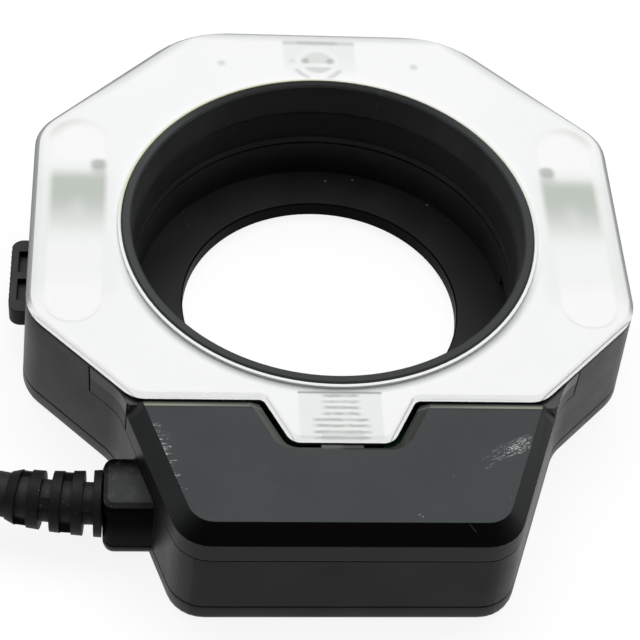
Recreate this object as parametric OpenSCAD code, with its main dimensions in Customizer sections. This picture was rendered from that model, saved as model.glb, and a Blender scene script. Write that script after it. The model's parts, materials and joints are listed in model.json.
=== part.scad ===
// Macro ring flash head that clips on an adapter ring screwed into the front of a lens.
// The head lies on its back: the origin is on the lens axis at the rear face, +Z is the way
// the light leaves, and -Y is the block with the panel and the cord.

/* [Body] */
// Width across the two side faces, at the diffuser
body_w = 120; // [116:1:128]
// Distance from the axis to the far face
far_reach = 58; // [56:0.2:61]
// Distance from the axis to the far slanted faces
slant_reach = 61; // [59.4:0.2:62.4]
// Distance from the axis to the slanted faces beside the block
near_reach = 59.2; // [58.6:0.1:61]
// Distance from the axis to the near face of the block
block_reach = 75.2; // [73:0.2:80]
// Half the width of the block at its near face
block_half = 30.3; // [29.5:0.1:33]
// Sideways offset of the block from the centre line
block_shift = 0.85; // [0:0.05:1]
// Widening of the block towards the ring, per millimetre
block_taper = 0.355; // [0.3:0.005:0.4]
// Height of the walls, up to the underside of the diffuser
wall_top = 27.2; // [26.6:0.1:30]
// Lean of the side faces out towards the rear
side_flare = 1.7; // [0:0.1:2.2]
// Lean of the near slanted faces in towards the rear
slant_lean = 0.5; // [0:0.1:1.6]
// Lean of the block's faces out towards the rear
block_flare = 1; // [0:0.1:1.6]
// Thickness of the housing walls
wall_t = 2; // [1.5:0.1:2.3]
// Thickness of the rear cover's floor
floor_t = 1.8; // [1.2:0.1:2.4]
// Height of the seam between the rear cover and the middle housing
lower_seam = 4.6; // [4:0.1:5.2]
// Height of the seam below the front cover
upper_seam = 19.4; // [19:0.1:21]
// Distance from the centre line to the upright seam at the end of each wing
wing_reach = 47.3; // [45:0.1:50]
// Radius of the rear cover's bottom edge
bottom_round = 1.6; // [0.6:0.1:2]
// Corner radius at the ends of the side faces
side_corner = 11; // [6:0.5:12]
// Corner radius at the ends of the far face
far_corner = 22; // [6:0.5:24]
// Corner radius of the block
block_corner = 7.6; // [5:0.2:9]
// Fillet between the ring and the block
root_fillet = 11.5; // [4:0.5:12]

/* [Diffuser] */
// Thickness of the diffuser
diffuser_t = 1.6; // [1.4:0.1:2]
// Chamfer round the top edge of the diffuser
diffuser_bevel = 1; // [0.5:0.1:1.2]
// Distance from the axis to the diffuser's near edge
diffuser_near = 44.8; // [44.6:0.1:46]
// Half the width of the tab where it leaves the near edge
tab_root = 14.5; // [13:0.1:16]
// Half the width of the tab at its end
tab_end = 9.5; // [9:0.1:11]
// Length of the tab
tab_length = 10; // [9:0.1:11]
// Thickness left in the clear windows above the flash tubes
window_skin = 0.9; // [0.6:0.1:1.2]
// Length of a window
window_l = 53.4; // [50:0.2:55]
// Half the width of a window
window_half = 5.5; // [5:0.1:6.2]
// Width of the raised lip round the hole
hole_lip_w = 0.65; // [0.5:0.05:0.9]
// Height of the raised lip above the diffuser
hole_lip_h = 0.6; // [0.3:0.05:0.8]

/* [Bore] */
// Inner radius of the front collar
collar_r = 39.86; // [39.6:0.02:40.2]
// Wall thickness of the collar below its rim
collar_wall = 1.34; // [1.1:0.02:1.5]
// Width of the collar's front rim
rim_w = 2; // [1.7:0.1:2.6]
// Height of the rim above the diffuser
rim_rise = 0.86; // [0.5:0.02:1.2]
// Height at which the collar sits on the bore tube
collar_seat = 21.8; // [21:0.1:23]
// Inner radius of the bore tube
bore_r = 39.5; // [39.3:0.05:39.7]
// Wall thickness of the tube round the collar
spigot_t = 1.3; // [1:0.1:1.6]
// Height of the seat of the stop ring in the bore
stop_seat = 15.2; // [14.8:0.1:16]
// Height of the stop ring
stop_h = 1.6; // [1.2:0.1:2]

/* [Adapter ring] */
// Outer radius of the adapter ring
adapter_r = 40.65; // [40.5:0.05:40.9]
// Radial thickness of the adapter's wall
adapter_wall = 1.6; // [1.4:0.05:1.8]
// Radius of the clear hole
hole_r = 29.05; // [28:0.05:29.6]
// Radius of the male thread that goes into the lens
thread_r = 31; // [30.5:0.1:33]
// Height of the thread's rear end above the rear face
thread_rear = 1.1; // [0.6:0.1:1.6]
// Height of the underside of the adapter's flange
flange_low = 3.2; // [2.8:0.1:3.6]
// Thickness of the adapter's flange
flange_t = 1.2; // [0.8:0.1:1.4]
// Depth of the groove that the latches hold
groove_depth = 0.9; // [0.7:0.05:1.1]

/* [Latch] */
// Travel of a release button
latch_travel = 2; // [1.6:0.1:2.2]
// Height of the underside of the lower latch slide
slide_low = 6.2; // [6.1:0.05:6.4]
// Thickness of a latch slide
slide_t = 0.8; // [0.6:0.05:0.85]
// Gap between the two latch slides
slide_gap = 0.3; // [0.25:0.05:0.35]
// Radial width of a latch slide
slide_w = 3.4; // [2.6:0.1:4]
// Half the angle that a latch jaw covers
jaw_half_angle = 18; // [12:1:20]
// Half the angle of the windows in the adapter's groove
window_half_angle = 22; // [20:1:25]
// Length of a release button along the side face
button_l = 19.6; // [17:0.2:21]
// Height of a release button
button_h = 4.3; // [3.8:0.1:4.4]
// Height of the underside of a release button
button_low = 7.6; // [7.4:0.1:7.8]
// How far a button stands out of the side face
button_reach = 3.7; // [3.2:0.1:4.5]
// Number of serrations on a button
serrations = 11; // [7:1:13]
// Wire diameter of a latch spring
spring_wire = 0.5; // [0.4:0.05:0.6]
// Outer diameter of a latch spring
spring_d = 3.4; // [3:0.1:3.6]
// Number of turns of a latch spring
spring_turns = 6; // [4:1:7]

/* [Flash tubes] */
// Outer radius of a flash tube
tube_r = 2.5; // [2:0.1:2.8]
// Wall thickness of a flash tube
tube_glass = 0.6; // [0.4:0.05:0.8]
// Length of a flash tube
tube_l = 50; // [47:0.5:51]
// Length of a reflector
reflector_l = 43; // [40:0.5:45]
// Sheet thickness of a reflector
reflector_sheet = 0.5; // [0.4:0.05:0.7]
// Space between a reflector and the walls beside it
reflector_gap = 1.3; // [1.1:0.1:2]

/* [Focus lamps] */
// Distance from the axis to the far lamp
far_lamp_y = 48.6; // [48.4:0.1:49]
// Mouth radius of the far lamp's cup
far_cup_r = 4.5; // [4:0.1:4.8]
// Half the width of the near lamp's lens
near_lens_half = 7.9; // [7.4:0.1:8.2]
// Number of ribs on the near lamp's lens
near_ribs = 7; // [5:1:9]
// Radius of a lamp bulb
bulb_r = 1.5; // [1.2:0.1:1.7]

/* [Cord] */
// Diameter of the cord
cord_d = 6; // [5.6:0.1:6]
// Height of the cord's axis where it leaves the cable box
cord_z = 10.1; // [10:0.1:10.3]
// Outer diameter of the strain relief at its root
relief_d = 12.8; // [12:0.1:13]
// Outer diameter of the strain relief at its end
relief_end_d = 10.4; // [10:0.1:11.6]
// Diameter of the core between the strain relief's rings
relief_core_d = 8.1; // [7.4:0.1:8.4]
// Turns of the coil's lower layer
coil_turns_in = 1.5; // [1:0.5:2]
// Outer radius of the coil, to the cord's axis
coil_r = 37; // [36:0.5:38]
// Thickness of the tie round the coil
tie_t = 0.7; // [0.5:0.05:0.7]
// Width of the tie
tie_w = 8; // [6:0.5:10]
// Radius of the plug's body
plug_r = 6; // [5.6:0.1:6]
// Length of the plug's body
plug_l = 18; // [14:0.5:20]

/* [Fits] */
// Running clearance round the adapter ring
running_gap = 0.05; // [0.03:0.01:0.08]
// Clearance between pieces that are pushed together
fit_gap = 0.1; // [0.05:0.01:0.15]
// Clearance round pieces that move
move_gap = 0.3; // [0.25:0.01:0.35]
// Width of the seam round the front cover
seam_gap = 0.2; // [0.1:0.05:0.3]
// Small chamfer along the lower seam
seam_v = 0.25; // [0.1:0.05:0.4]

/* [Hidden] */
$fn = 64;

// Segments of one rounded corner of an outline
corner_steps = 6;
// Length that a cut runs past the face it leaves
past = 1;

// Levels and radii that follow from the sizes above
body_half = body_w / 2;
slant_sum = slant_reach * sqrt(2);
near_slant = near_reach * sqrt(2);
diffuser_top = wall_top + diffuser_t;
collar_out = collar_r + collar_wall;
spigot_in = collar_out + fit_gap;
spigot_out = spigot_in + spigot_t;
rim_out = collar_r + rim_w;
seat_r = adapter_r + running_gap;
slide_high = slide_low + slide_t + slide_gap;
latch_low = slide_low - move_gap;
latch_high = slide_high + slide_t + move_gap;
groove_r = adapter_r - groove_depth;
deck_gap = 0.7;
deck_low = button_low + button_h + deck_gap;
deck_t = 1.4;
deck_top = deck_low + deck_t;
adapter_top = stop_seat - stop_h - move_gap;

// Vector helpers
function unit(v) = v / norm(v);
function left_of(v) = [-v.y, v.x];
function flat(p) = [p.x, p.y];
function cross2(a, b) = a.x * b.y - a.y * b.x;
function between(low, high, t) = low + (high - low) * t;
function after(list, i) = list[(i + 1) % len(list)];
function before(list, i) = list[(i + len(list) - 1) % len(list)];

// Arc that rounds corner b, which lies between the corners a and c
function corner_arc(a, b, c) =
  let (
    u = unit(flat(a) - flat(b)),
    v = unit(flat(c) - flat(b)),
    half = acos(u * v) / 2,
    centre = flat(b) + unit(u + v) * b[2] / sin(half),
    start = flat(b) + u * b[2] / tan(half) - centre,
    sweep = (180 - 2 * half) * sign(cross2(v, u))
  )
  [for (k = [0:corner_steps])
    let (t = sweep * k / corner_steps)
    centre + [start.x * cos(t) - start.y * sin(t), start.x * sin(t) + start.y * cos(t)]];

// Outline through corners [x, y, radius], listed anticlockwise
function rounded(c) = [for (i = [0:len(c) - 1]) each corner_arc(before(c, i), c[i], after(c, i))];

// Corners moved inwards, with a distance for each edge; edge i leaves corner i
function inset_edges(c, d) = [for (i = [0:len(c) - 1])
  let (
    into = unit(flat(c[i]) - flat(before(c, i))),
    out = unit(flat(after(c, i)) - flat(c[i])),
    n1 = left_of(into),
    n2 = left_of(out),
    d1 = before(d, i),
    d2 = d[i],
    move = [d1 * n2.y - d2 * n1.y, n1.x * d2 - n2.x * d1] / cross2(n1, n2),
    mean = (d1 + d2) / 2
  )
  [c[i].x + move.x, c[i].y + move.y, max(c[i][2] + (cross2(into, out) > 0 ? -mean : mean), 0.2)]];
function inset(c, d) = inset_edges(c, [for (i = c) d]);

// Outline lifted to a height
function at_height(outline, z) = [for (p = outline) [p.x, p.y, z]];

// Solid through equal outlines, from the lowest to the highest; its ends are fans about their middles
function middle(ring) = [for (p = ring) 1] * ring / len(ring);
module stack(rings) {
  n = len(rings[0]);
  top = (len(rings) - 1) * n;
  polyhedron(
    points = [for (r = rings) each r, middle(rings[0]), middle(rings[len(rings) - 1])],
    faces = [
      for (i = [0:n - 1]) [i, (i + 1) % n, top + n],
      for (i = [0:n - 1]) [top + (i + 1) % n, top + i, top + n + 1],
      for (k = [0:len(rings) - 2], i = [0:n - 1])
        let (a = k * n + i, b = k * n + (i + 1) % n)
        each [[a, a + n, b + n], [a, b + n, b]]
    ]
  );
}

// Upright prism on rounded corners
module slab(corners, low, high) {
  translate([0, 0, low]) linear_extrude(high - low) polygon(rounded(corners));
}

// Tube swept along points, with flat ends square to the route
module sweep(route, r, sides) {
  last = len(route) - 1;
  along = [for (i = [0:last]) unit(route[min(i + 1, last)] - route[max(i - 1, 0)])];
  seed = abs(along[0].z) < 0.9 ? [0, 0, 1] : [1, 0, 0];
  first = unit(seed - along[0] * (seed * along[0]));
  side = [for (i = 0, m = first; i <= last;
               i = i + 1, m = i <= last ? unit(m - along[i] * (m * along[i])) : m) m];
  stack([for (i = [0:last])
    let (up = cross(along[i], side[i]))
    [for (k = [0:sides - 1])
      let (a = 360 * k / sides)
      route[i] + r * (side[i] * cos(a) + up * sin(a))]]);
}

// Route with a straight first and last piece, so that its ends lie square to what they meet
function square_ends(p, steps) =
  let (last = len(p) - 1)
  [p[0], each smooth([for (i = [1:last - 1]) p[i]], steps), p[last]];

// Smooth route through hand-picked points, with a number of steps between neighbours
function smooth(p, steps) = [
  for (i = [0:len(p) - 2], k = [0:steps - 1])
    let (
      t = k / steps,
      a = p[max(i - 1, 0)], b = p[i], c = p[i + 1], d = p[min(i + 2, len(p) - 1)]
    )
    b + (c - a) * t / 2 + (2 * a - 5 * b + 4 * c - d) * t * t / 2 + (3 * b - a - 3 * c + d) * t * t * t / 2,
  p[len(p) - 1]
];
function route_length(p) = len(p) < 2 ? 0 : sum_list([for (i = [1:len(p) - 1]) norm(p[i] - p[i - 1])]);
function sum_list(v) = v * [for (x = v) 1];

// Screw with a cross recess; its head's top is at the origin and its shank points to -Z
module screw(head_r, head_h, shank_r, length) {
  difference() {
    union() {
      translate([0, 0, -head_h]) cylinder(r = head_r, h = head_h);
      translate([0, 0, -length]) cylinder(r = shank_r, h = length - head_h + 0.1);
    }
    for (turn = [0, 90]) rotate(turn)
      translate([-head_r * 0.6, -head_r * 0.12, -head_h * 0.6])
        cube([head_r * 1.2, head_r * 0.24, head_h]);
  }
}

// Mirrored copy for the right side
module on_side(s) {
  if (s < 0) children();
  else mirror([1, 0, 0]) children();
}

// Body outline at a height: the leaning walls of ring and block
function lean(rear, front, z) = between(rear, front, z / wall_top);
function wall_half(z) = lean(body_half + side_flare, body_half, z);
function block_y(z) = lean(block_reach + block_flare / 2, block_reach, z);
// The block's half widths differ by its offset: s is 1 on the right and -1 on the left
function block_x(z, s) = lean(block_half + block_flare, block_half, z) + s * block_shift;
function block_side(z, y, s) = block_x(z, s) + block_taper * (block_y(z) - y);
function near_sum(z) = lean(near_slant - slant_lean * sqrt(2), near_slant, z);
function root_y(z, s) = (near_sum(z) - block_x(z, s) - block_taper * block_y(z)) / (1 - block_taper);
function body_side(z, s) =
  let (h = wall_half(z), near = near_sum(z), ry = root_y(z, s))
  [
    [block_x(z, s), -block_y(z), block_corner],
    [near - ry, -ry, root_fillet],
    [h, h - near, side_corner],
    [h, slant_sum - h, side_corner],
    [slant_sum - far_reach, far_reach, far_corner]
  ];
function body_corners(z) = both_sides(body_side(z, 1), body_side(z, -1));
// Corners of the right side, then those of the left side mirrored
function both_sides(right, left) =
  [each right, for (i = [len(left) - 1:-1:0]) [-left[i].x, left[i].y, left[i][2]]];
function mirrored(half) = both_sides(half, half);
function body_ring(z, d) = at_height(rounded(inset(body_corners(z), d)), z);

// Places of the screws that hold the rear cover
boss_r = 3;
pilot_r = 1.05;
boss_gap = 0.9;
corner_boss = (near_sum(0) - wall_t * sqrt(2) - boss_r * sqrt(2)) / 2 - boss_gap;
block_boss = [block_half - 4.3, -(block_reach - 7.2)];
ring_bosses = [for (sx = [-1, 1], sy = [-1, 1]) [sx * corner_boss, sy * corner_boss]];
block_bosses = [for (sx = [-1, 1]) [sx * block_boss.x + block_shift, block_boss.y]];

// Cable box on the left of the block
box_y = -56.1;
box_half = 6;
box_left = -44.4;
box_low = 1.3;
box_high = 17.7;
box_round = 2.2;
box_sink = 1.2;
box_wall = 1.2;
relief_hole_r = 4.2;
function box_corners(d) = [
  [box_left + d, box_y + box_half - d, max(box_round - d, 0.3)],
  [box_left + d, box_y - box_half + d, max(box_round - d, 0.3)],
  [-block_side(0, -box_y + box_half, -1) + box_sink, box_y - box_half + d, 0.3],
  [-block_side(wall_top, -box_y - box_half, -1) + box_sink, box_y + box_half - d, 0.3]
];
function box_ring(z, d) = at_height(rounded(box_corners(d)), z);
round_steps = [0, 30, 60, 90];

module box_floor() {
  stack([
    for (a = round_steps) box_ring(box_low + box_round * (1 - cos(a)), box_round * (1 - sin(a))),
    box_ring(lower_seam - fit_gap - seam_v, 0),
    box_ring(lower_seam - fit_gap, seam_v)
  ]);
}

module box_cover() {
  stack([
    box_ring(lower_seam, seam_v),
    box_ring(lower_seam + seam_v, 0),
    for (a = round_steps) box_ring(box_high - box_round * (1 - sin(a)), box_round * (1 - cos(a)))
  ]);
}

module box_hollow(low, high) {
  translate([box_left + box_wall, box_y - box_half + box_wall, low])
    cube([saddle_x - box_left - box_wall, 2 * (box_half - box_wall), high - low]);
}

// Half saddle that grips the cord inside the block
saddle_x = -block_side(cord_z, -box_y + 5, -1) + wall_t + 1.2;
saddle_l = 4.4;
saddle_half = 6.4;
saddle_top = cord_z + cord_d / 2 + 1.6;
saddle_screw_y = 4.7;
saddle_split = 0.1;
cord_end = saddle_x + saddle_l + 1.5;

module saddle_half_block(low, high) {
  difference() {
    translate([saddle_x, box_y - saddle_half, low]) cube([saddle_l, 2 * saddle_half, high - low]);
    translate([saddle_x - past, box_y, cord_z]) rotate([0, 90, 0])
      cylinder(r = cord_d / 2 + fit_gap, h = saddle_l + 2 * past);
  }
}

cover_bore_top = latch_low;
head_sink = 2.4;
head_r = 2.2;
module rear_cover() {
  color([0.09, 0.095, 0.1]) difference() {
    union() {
      difference() {
        union() {
          stack([
            for (a = round_steps) body_ring(bottom_round * (1 - cos(a)), bottom_round * (1 - sin(a))),
            body_ring(lower_seam - seam_v, 0),
            body_ring(lower_seam, seam_v)
          ]);
          box_floor();
        }
        slab(inset(body_corners(lower_seam), wall_t), floor_t, lower_seam + past);
        box_hollow(box_low + box_wall, lower_seam + past);
      }
      cylinder(r = spigot_out, h = cover_bore_top);
      for (p = ring_bosses) translate(p) cylinder(r = boss_r + 0.6, h = lower_seam - fit_gap);
      for (p = block_bosses) translate(p) cylinder(r = boss_r + 0.6, h = lower_seam - fit_gap);
      saddle_half_block(floor_t - 0.5, cord_z - saddle_split);
    }
    translate([0, 0, -past]) cylinder(r = seat_r, h = cover_bore_top + 2 * past);
    for (p = concat(ring_bosses, block_bosses)) translate(p) {
      translate([0, 0, -past]) cylinder(r = 1.3, h = lower_seam + 2 * past);
      translate([0, 0, -past]) cylinder(r = head_r + 0.2, h = head_sink + past);
    }
    for (s = [-1, 1])
      translate([saddle_x + saddle_l / 2, box_y + s * saddle_screw_y, floor_t])
        cylinder(r = 0.85, h = cord_z);
  }
}

// Wall of ring and block between two heights
module housing_wall(low, high, edge) {
  difference() {
    stack([
      if (edge > 0) body_ring(low, edge),
      body_ring(low + edge, 0),
      body_ring(high, 0)
    ]);
    stack([body_ring(low - past, wall_t), body_ring(high + past, wall_t)]);
  }
}

// Space that the front cover takes: the block above the upper seam and the wings beside it
cover_y = diffuser_near + 0.5;
wing_start = 28;
module cover_zone(gap) {
  translate([-wing_reach + gap, -block_reach - 20, upper_seam + gap])
    cube([2 * (wing_reach - gap), block_reach + 20 - wing_start, wall_top]);
}

slot_top = button_low + button_h + move_gap;
spring_z = button_low + button_h / 2 + 0.4;
spring_seat_x = spigot_out + 3;
// Room in the deck's near edge for the board and the lamp
deck_near = diffuser_near - 3.2;
module middle_housing() {
  color([0.1, 0.105, 0.11]) difference() {
    union() {
      difference() {
        housing_wall(lower_seam, wall_top, seam_v);
        cover_zone(0);
      }
      box_cover();
      rotate_extrude($fn = 160) polygon([
        [seat_r, latch_high], [spigot_out, latch_high], [spigot_out, wall_top], [spigot_in, wall_top],
        [spigot_in, collar_seat], [bore_r, collar_seat], [bore_r, stop_seat], [seat_r, stop_seat]
      ]);
      difference() {
        intersection() {
          slab(inset(body_corners(deck_low), wall_t - 0.5), deck_low, deck_top);
          translate([-body_w, -deck_near, 0]) cube([2 * body_w, far_reach + deck_near + past, wall_top]);
        }
        translate([0, 0, -past]) cylinder(r = spigot_out - 0.4, h = wall_top, $fn = 160);
      }
      for (p = ring_bosses) translate([p.x, p.y, lower_seam])
        cylinder(r = boss_r, h = deck_low - lower_seam + 0.2);
      for (s = [-1, 1])
        translate([s > 0 ? spigot_out - 0.6 : -spring_seat_x, -2.6, latch_high])
          cube([spring_seat_x - spigot_out + 0.6, 5.2, deck_low - latch_high + 0.2]);
    }
    for (p = ring_bosses) translate([p.x, p.y, lower_seam - past]) cylinder(r = pilot_r, h = 8);
    for (s = [-1, 1])
      translate([s > 0 ? body_half - 5 : -body_half - 5, -button_l / 2 - move_gap, button_low - move_gap])
        cube([10, button_l + 2 * move_gap, slot_top - button_low + move_gap]);
    for (s = [-1, 1]) translate([s * reflector_x, 0, tube_z]) rotate([90, 0, 0])
      cylinder(r = tube_r + tube_room, h = 2 * (tube_end + lead_start + tube_room), center = true);
    box_hollow(lower_seam - past, box_high - box_wall);
    translate([box_left - past, box_y, cord_z]) rotate([0, 90, 0])
      cylinder(r = relief_hole_r, h = box_wall + 2 * past);
  }
}

// Panel cap: its corners run round the block and follow the diffuser's tab
panel_gap = 0.5;
panel_top = diffuser_top - 0.4;
chamfer_low = panel_top - 4.4;
roof_t = 1.8;
far_lip = 1.2;
chamfer_near = 2.3;
chamfer_side = 2.7;
chamfer_far = 0.4;
chamfer_notch = 2.1;
chamfer_end = 1.3;
function cap_side(z, s) =
  [[block_x(z, s), -block_y(z), block_corner], [block_side(z, cover_y, s), -cover_y, 0.5]];
function cap_corners(z) = both_sides(cap_side(z, 1), cap_side(z, -1));
// Insets of the cap's four edges: right side, far, left side, near
function cap_ring(z, side, far, near) =
  at_height(rounded(inset_edges(cap_corners(min(z, wall_top)), [side, far, side, near])), z);
// Notch for the tab, run on past the cap's far edge and grown by a distance for its sides and its end
notch_past = 3;
notch_slope = (tab_root - tab_end) / tab_length;
notch_end = diffuser_near + tab_length + panel_gap;
// Stop in the notch that the end of the diffuser's tab meets
stop_half = 4;
stop_deep = 2;
stop_sink = 0.6;
function notch_ring(z, sides, end) =
  let (
    low = -notch_end, high = -cover_y + notch_past,
    wide = tab_end + panel_gap * 1.4
  )
  at_height(rounded(inset_edges(mirrored([
    [wide, low, 3.4], [wide + notch_slope * (high - low), high, 0.4]
  ]), [-sides, 0, -sides, -end])), z);

module front_cover() {
  lip_low = panel_top - far_lip;
  part = (lip_low - chamfer_low) / (panel_top - chamfer_low);
  color([0.11, 0.115, 0.12]) {
    difference() {
      stack([
        cap_ring(upper_seam + seam_gap, 0, 0, 0),
        cap_ring(chamfer_low, 0, 0, 0),
        cap_ring(lip_low, chamfer_side * part, 0, chamfer_near * part),
        cap_ring(panel_top, chamfer_side, chamfer_far, chamfer_near)
      ]);
      stack([
        notch_ring(upper_seam - past, 0, 0),
        notch_ring(lip_low, 0, 0),
        notch_ring(panel_top + far_lip, 2 * chamfer_notch, 2 * chamfer_end)
      ]);
      difference() {
        stack([
          cap_ring(upper_seam - past, wall_t, wall_t, wall_t),
          cap_ring(chamfer_low - 0.6, wall_t, wall_t, wall_t),
          cap_ring(panel_top - roof_t, wall_t + 1.6, wall_t, wall_t + 1.4)
        ]);
        stack([notch_ring(upper_seam - 2 * past, wall_t, wall_t), notch_ring(panel_top, wall_t, wall_t)]);
      }
    }
    intersection() {
      housing_wall(upper_seam + seam_gap, wall_top - fit_gap, 0);
      difference() {
        cover_zone(seam_gap);
        translate([-body_w, -cover_y - 100 + 0.02, 0]) cube([2 * body_w, 100, 2 * wall_top]);
      }
    }
    intersection() {
      stack([body_ring(wall_top - 1.6, 0.3), body_ring(wall_top - fit_gap, 0.3)]);
      for (s = [-1, 1])
        translate([s > 0 ? tab_root + 19 : -tab_root - 19 - 12, -cover_y - 0.3, wall_top - 3])
          cube([12, 6, 4]);
    }
    translate([-stop_half, -notch_end - stop_sink, wall_top - stop_deep])
      cube([2 * stop_half, panel_gap - fit_gap + stop_sink, stop_deep + diffuser_t / 4]);
    for (p = block_bosses) translate([p.x, p.y, lower_seam]) difference() {
      cylinder(r = boss_r, h = panel_top - roof_t - lower_seam + 0.4);
      translate([0, 0, -past]) cylinder(r = pilot_r, h = 12);
    }
    for (s = [-1, 1]) translate([s * board_post.x, board_post.y, board_top]) difference() {
      cylinder(r = 2.2, h = panel_top - roof_t - board_top + 0.4);
      translate([0, 0, -past]) cylinder(r = 0.85, h = 6);
    }
  }
}

diffuser_hole = spigot_in;
lip_t = 1.2;
lip_h = 1.2;
lip_sink = 0.4;
function diffuser_corners() = mirrored([
  [tab_end, -diffuser_near - tab_length, 3],
  [tab_root, -diffuser_near, 1.5],
  [near_slant - diffuser_near, -diffuser_near, 6],
  [body_half, body_half - near_slant, side_corner],
  [body_half, slant_sum - body_half, side_corner],
  [slant_sum - far_reach, far_reach, far_corner]
]);
function diffuser_ring(z, d) = at_height(rounded(inset(diffuser_corners(), d)), z);

module diffuser() {
  color([0.95, 0.96, 0.96]) {
    difference() {
      stack([
        diffuser_ring(wall_top, 0),
        diffuser_ring(diffuser_top - diffuser_bevel * 0.8, 0),
        diffuser_ring(diffuser_top, diffuser_bevel)
      ]);
      translate([0, 0, wall_top - past]) cylinder(r = diffuser_hole, h = diffuser_t + 2 * past, $fn = 160);
      for (s = [-1, 1]) slab([
        [s * reflector_x + window_half, -window_l / 2, window_half - 0.1],
        [s * reflector_x + window_half, window_l / 2, window_half - 0.1],
        [s * reflector_x - window_half, window_l / 2, window_half - 0.1],
        [s * reflector_x - window_half, -window_l / 2, window_half - 0.1]
      ], wall_top - past, diffuser_top - window_skin);
    }
    translate([0, 0, diffuser_top - lip_sink]) difference() {
      cylinder(r = rim_out + fit_gap + hole_lip_w, h = hole_lip_h + lip_sink, $fn = 160);
      translate([0, 0, -past]) cylinder(r = rim_out + fit_gap, h = hole_lip_h + 2 * past, $fn = 160);
    }
    intersection() {
      difference() {
        slab(inset(body_corners(wall_top), wall_t + fit_gap), wall_top - lip_h, wall_top + 0.2);
        slab(inset(body_corners(wall_top), wall_t + fit_gap + lip_t),
          wall_top - lip_h - past, wall_top + past);
      }
      translate([-body_w / 2, slant_sum - body_half + 2, 0]) cube([body_w, far_reach, diffuser_top]);
    }
  }
}

module front_collar() {
  edge = 0.36;
  top = diffuser_top + rim_rise;
  color([0.2, 0.205, 0.21]) rotate_extrude($fn = 160) polygon([
    [collar_r, collar_seat], [collar_out, collar_seat], [collar_out, diffuser_top], [rim_out, diffuser_top],
    [rim_out, top - edge], [rim_out - edge, top], [collar_r + edge, top], [collar_r, top - edge]
  ]);
}

module stop_ring() {
  color([0.16, 0.165, 0.17]) rotate_extrude($fn = 160) polygon([
    [bore_r - 0.4, stop_seat - stop_h + 0.2], [bore_r - 0.2, stop_seat - stop_h],
    [seat_r - fit_gap, stop_seat - stop_h],
    [seat_r - fit_gap, stop_seat], [bore_r - 0.2, stop_seat], [bore_r - 0.4, stop_seat - 0.2]
  ]);
}

module adapter_ring() {
  inner = adapter_r - adapter_wall;
  flange_top = flange_low + flange_t;
  edge = 0.3;
  color([0.08, 0.082, 0.085]) difference() {
    rotate_extrude($fn = 160) polygon([
      [hole_r, thread_rear], [thread_r - edge, thread_rear],
      [thread_r, thread_rear + edge], [thread_r, flange_low],
      [adapter_r - edge, flange_low], [adapter_r, flange_low + edge],
      [adapter_r, latch_low], [groove_r, latch_low],
      [groove_r, latch_high], [adapter_r, latch_high], [adapter_r, adapter_top - edge],
      [adapter_r - edge, adapter_top], [inner, adapter_top], [inner, flange_top],
      [hole_r + edge, flange_top], [hole_r, flange_top - edge]
    ]);
    for (s = [0, 180]) rotate(s) intersection() {
      translate([0, 0, latch_low]) cylinder(r = adapter_r + past, h = latch_high - latch_low);
      translate([inner - 8, 0, 0]) linear_extrude(stop_seat) polygon([
        [0, 0], [14, -14 * tan(window_half_angle) - 8 * tan(window_half_angle)],
        [14, 14 * tan(window_half_angle) + 8 * tan(window_half_angle)]
      ]);
    }
  }
}

// Release button on the left; plate is the top of the latch slide that it is pinned to
button_x = wall_half(button_low + button_h) + button_reach;
heel_out = wall_half(wall_top) - wall_t - 0.35;
heel_x = heel_out - 3.4;
heel_half = button_l / 2 + 1.5;
peg_r = 1.2;
tongue_end = heel_out - 0.6;
peg_x = heel_out - 2.2;
peg_y = 5.5;
module release_button(plate) {
  pocket_l = 5.7;
  pocket_gap = 1.9;
  serration_pitch = (button_l - 5) / (serrations - 1);
  top = button_low + button_h;
  color([0.1, 0.105, 0.11]) difference() {
    union() {
      slab([
        [-heel_out + 0.5, -button_l / 2, 0.3], [-heel_out + 0.5, button_l / 2, 0.3],
        [-button_x, button_l / 2, 2.4], [-button_x, -button_l / 2, 2.4]
      ], button_low, top);
      translate([-heel_out, -heel_half, plate]) cube([heel_out - heel_x, 2 * heel_half, top - plate]);
      for (s = [-1, 1]) translate([-peg_x, s * peg_y, plate - slide_t]) cylinder(r = peg_r, h = slide_t + 1);
    }
    for (k = [0:serrations - 1])
      translate([-button_x - 0.1, (k - (serrations - 1) / 2) * serration_pitch, button_low - past])
        cylinder(r = 0.4, h = button_h + 2 * past, $fn = 24);
    for (s = [-1, 1])
      translate([-button_x + 1.6, s > 0 ? pocket_gap / 2 : -pocket_gap / 2 - pocket_l, top - 1.6])
        cube([button_reach - 1.4, pocket_l, 1.6 + past]);
  }
}

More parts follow.
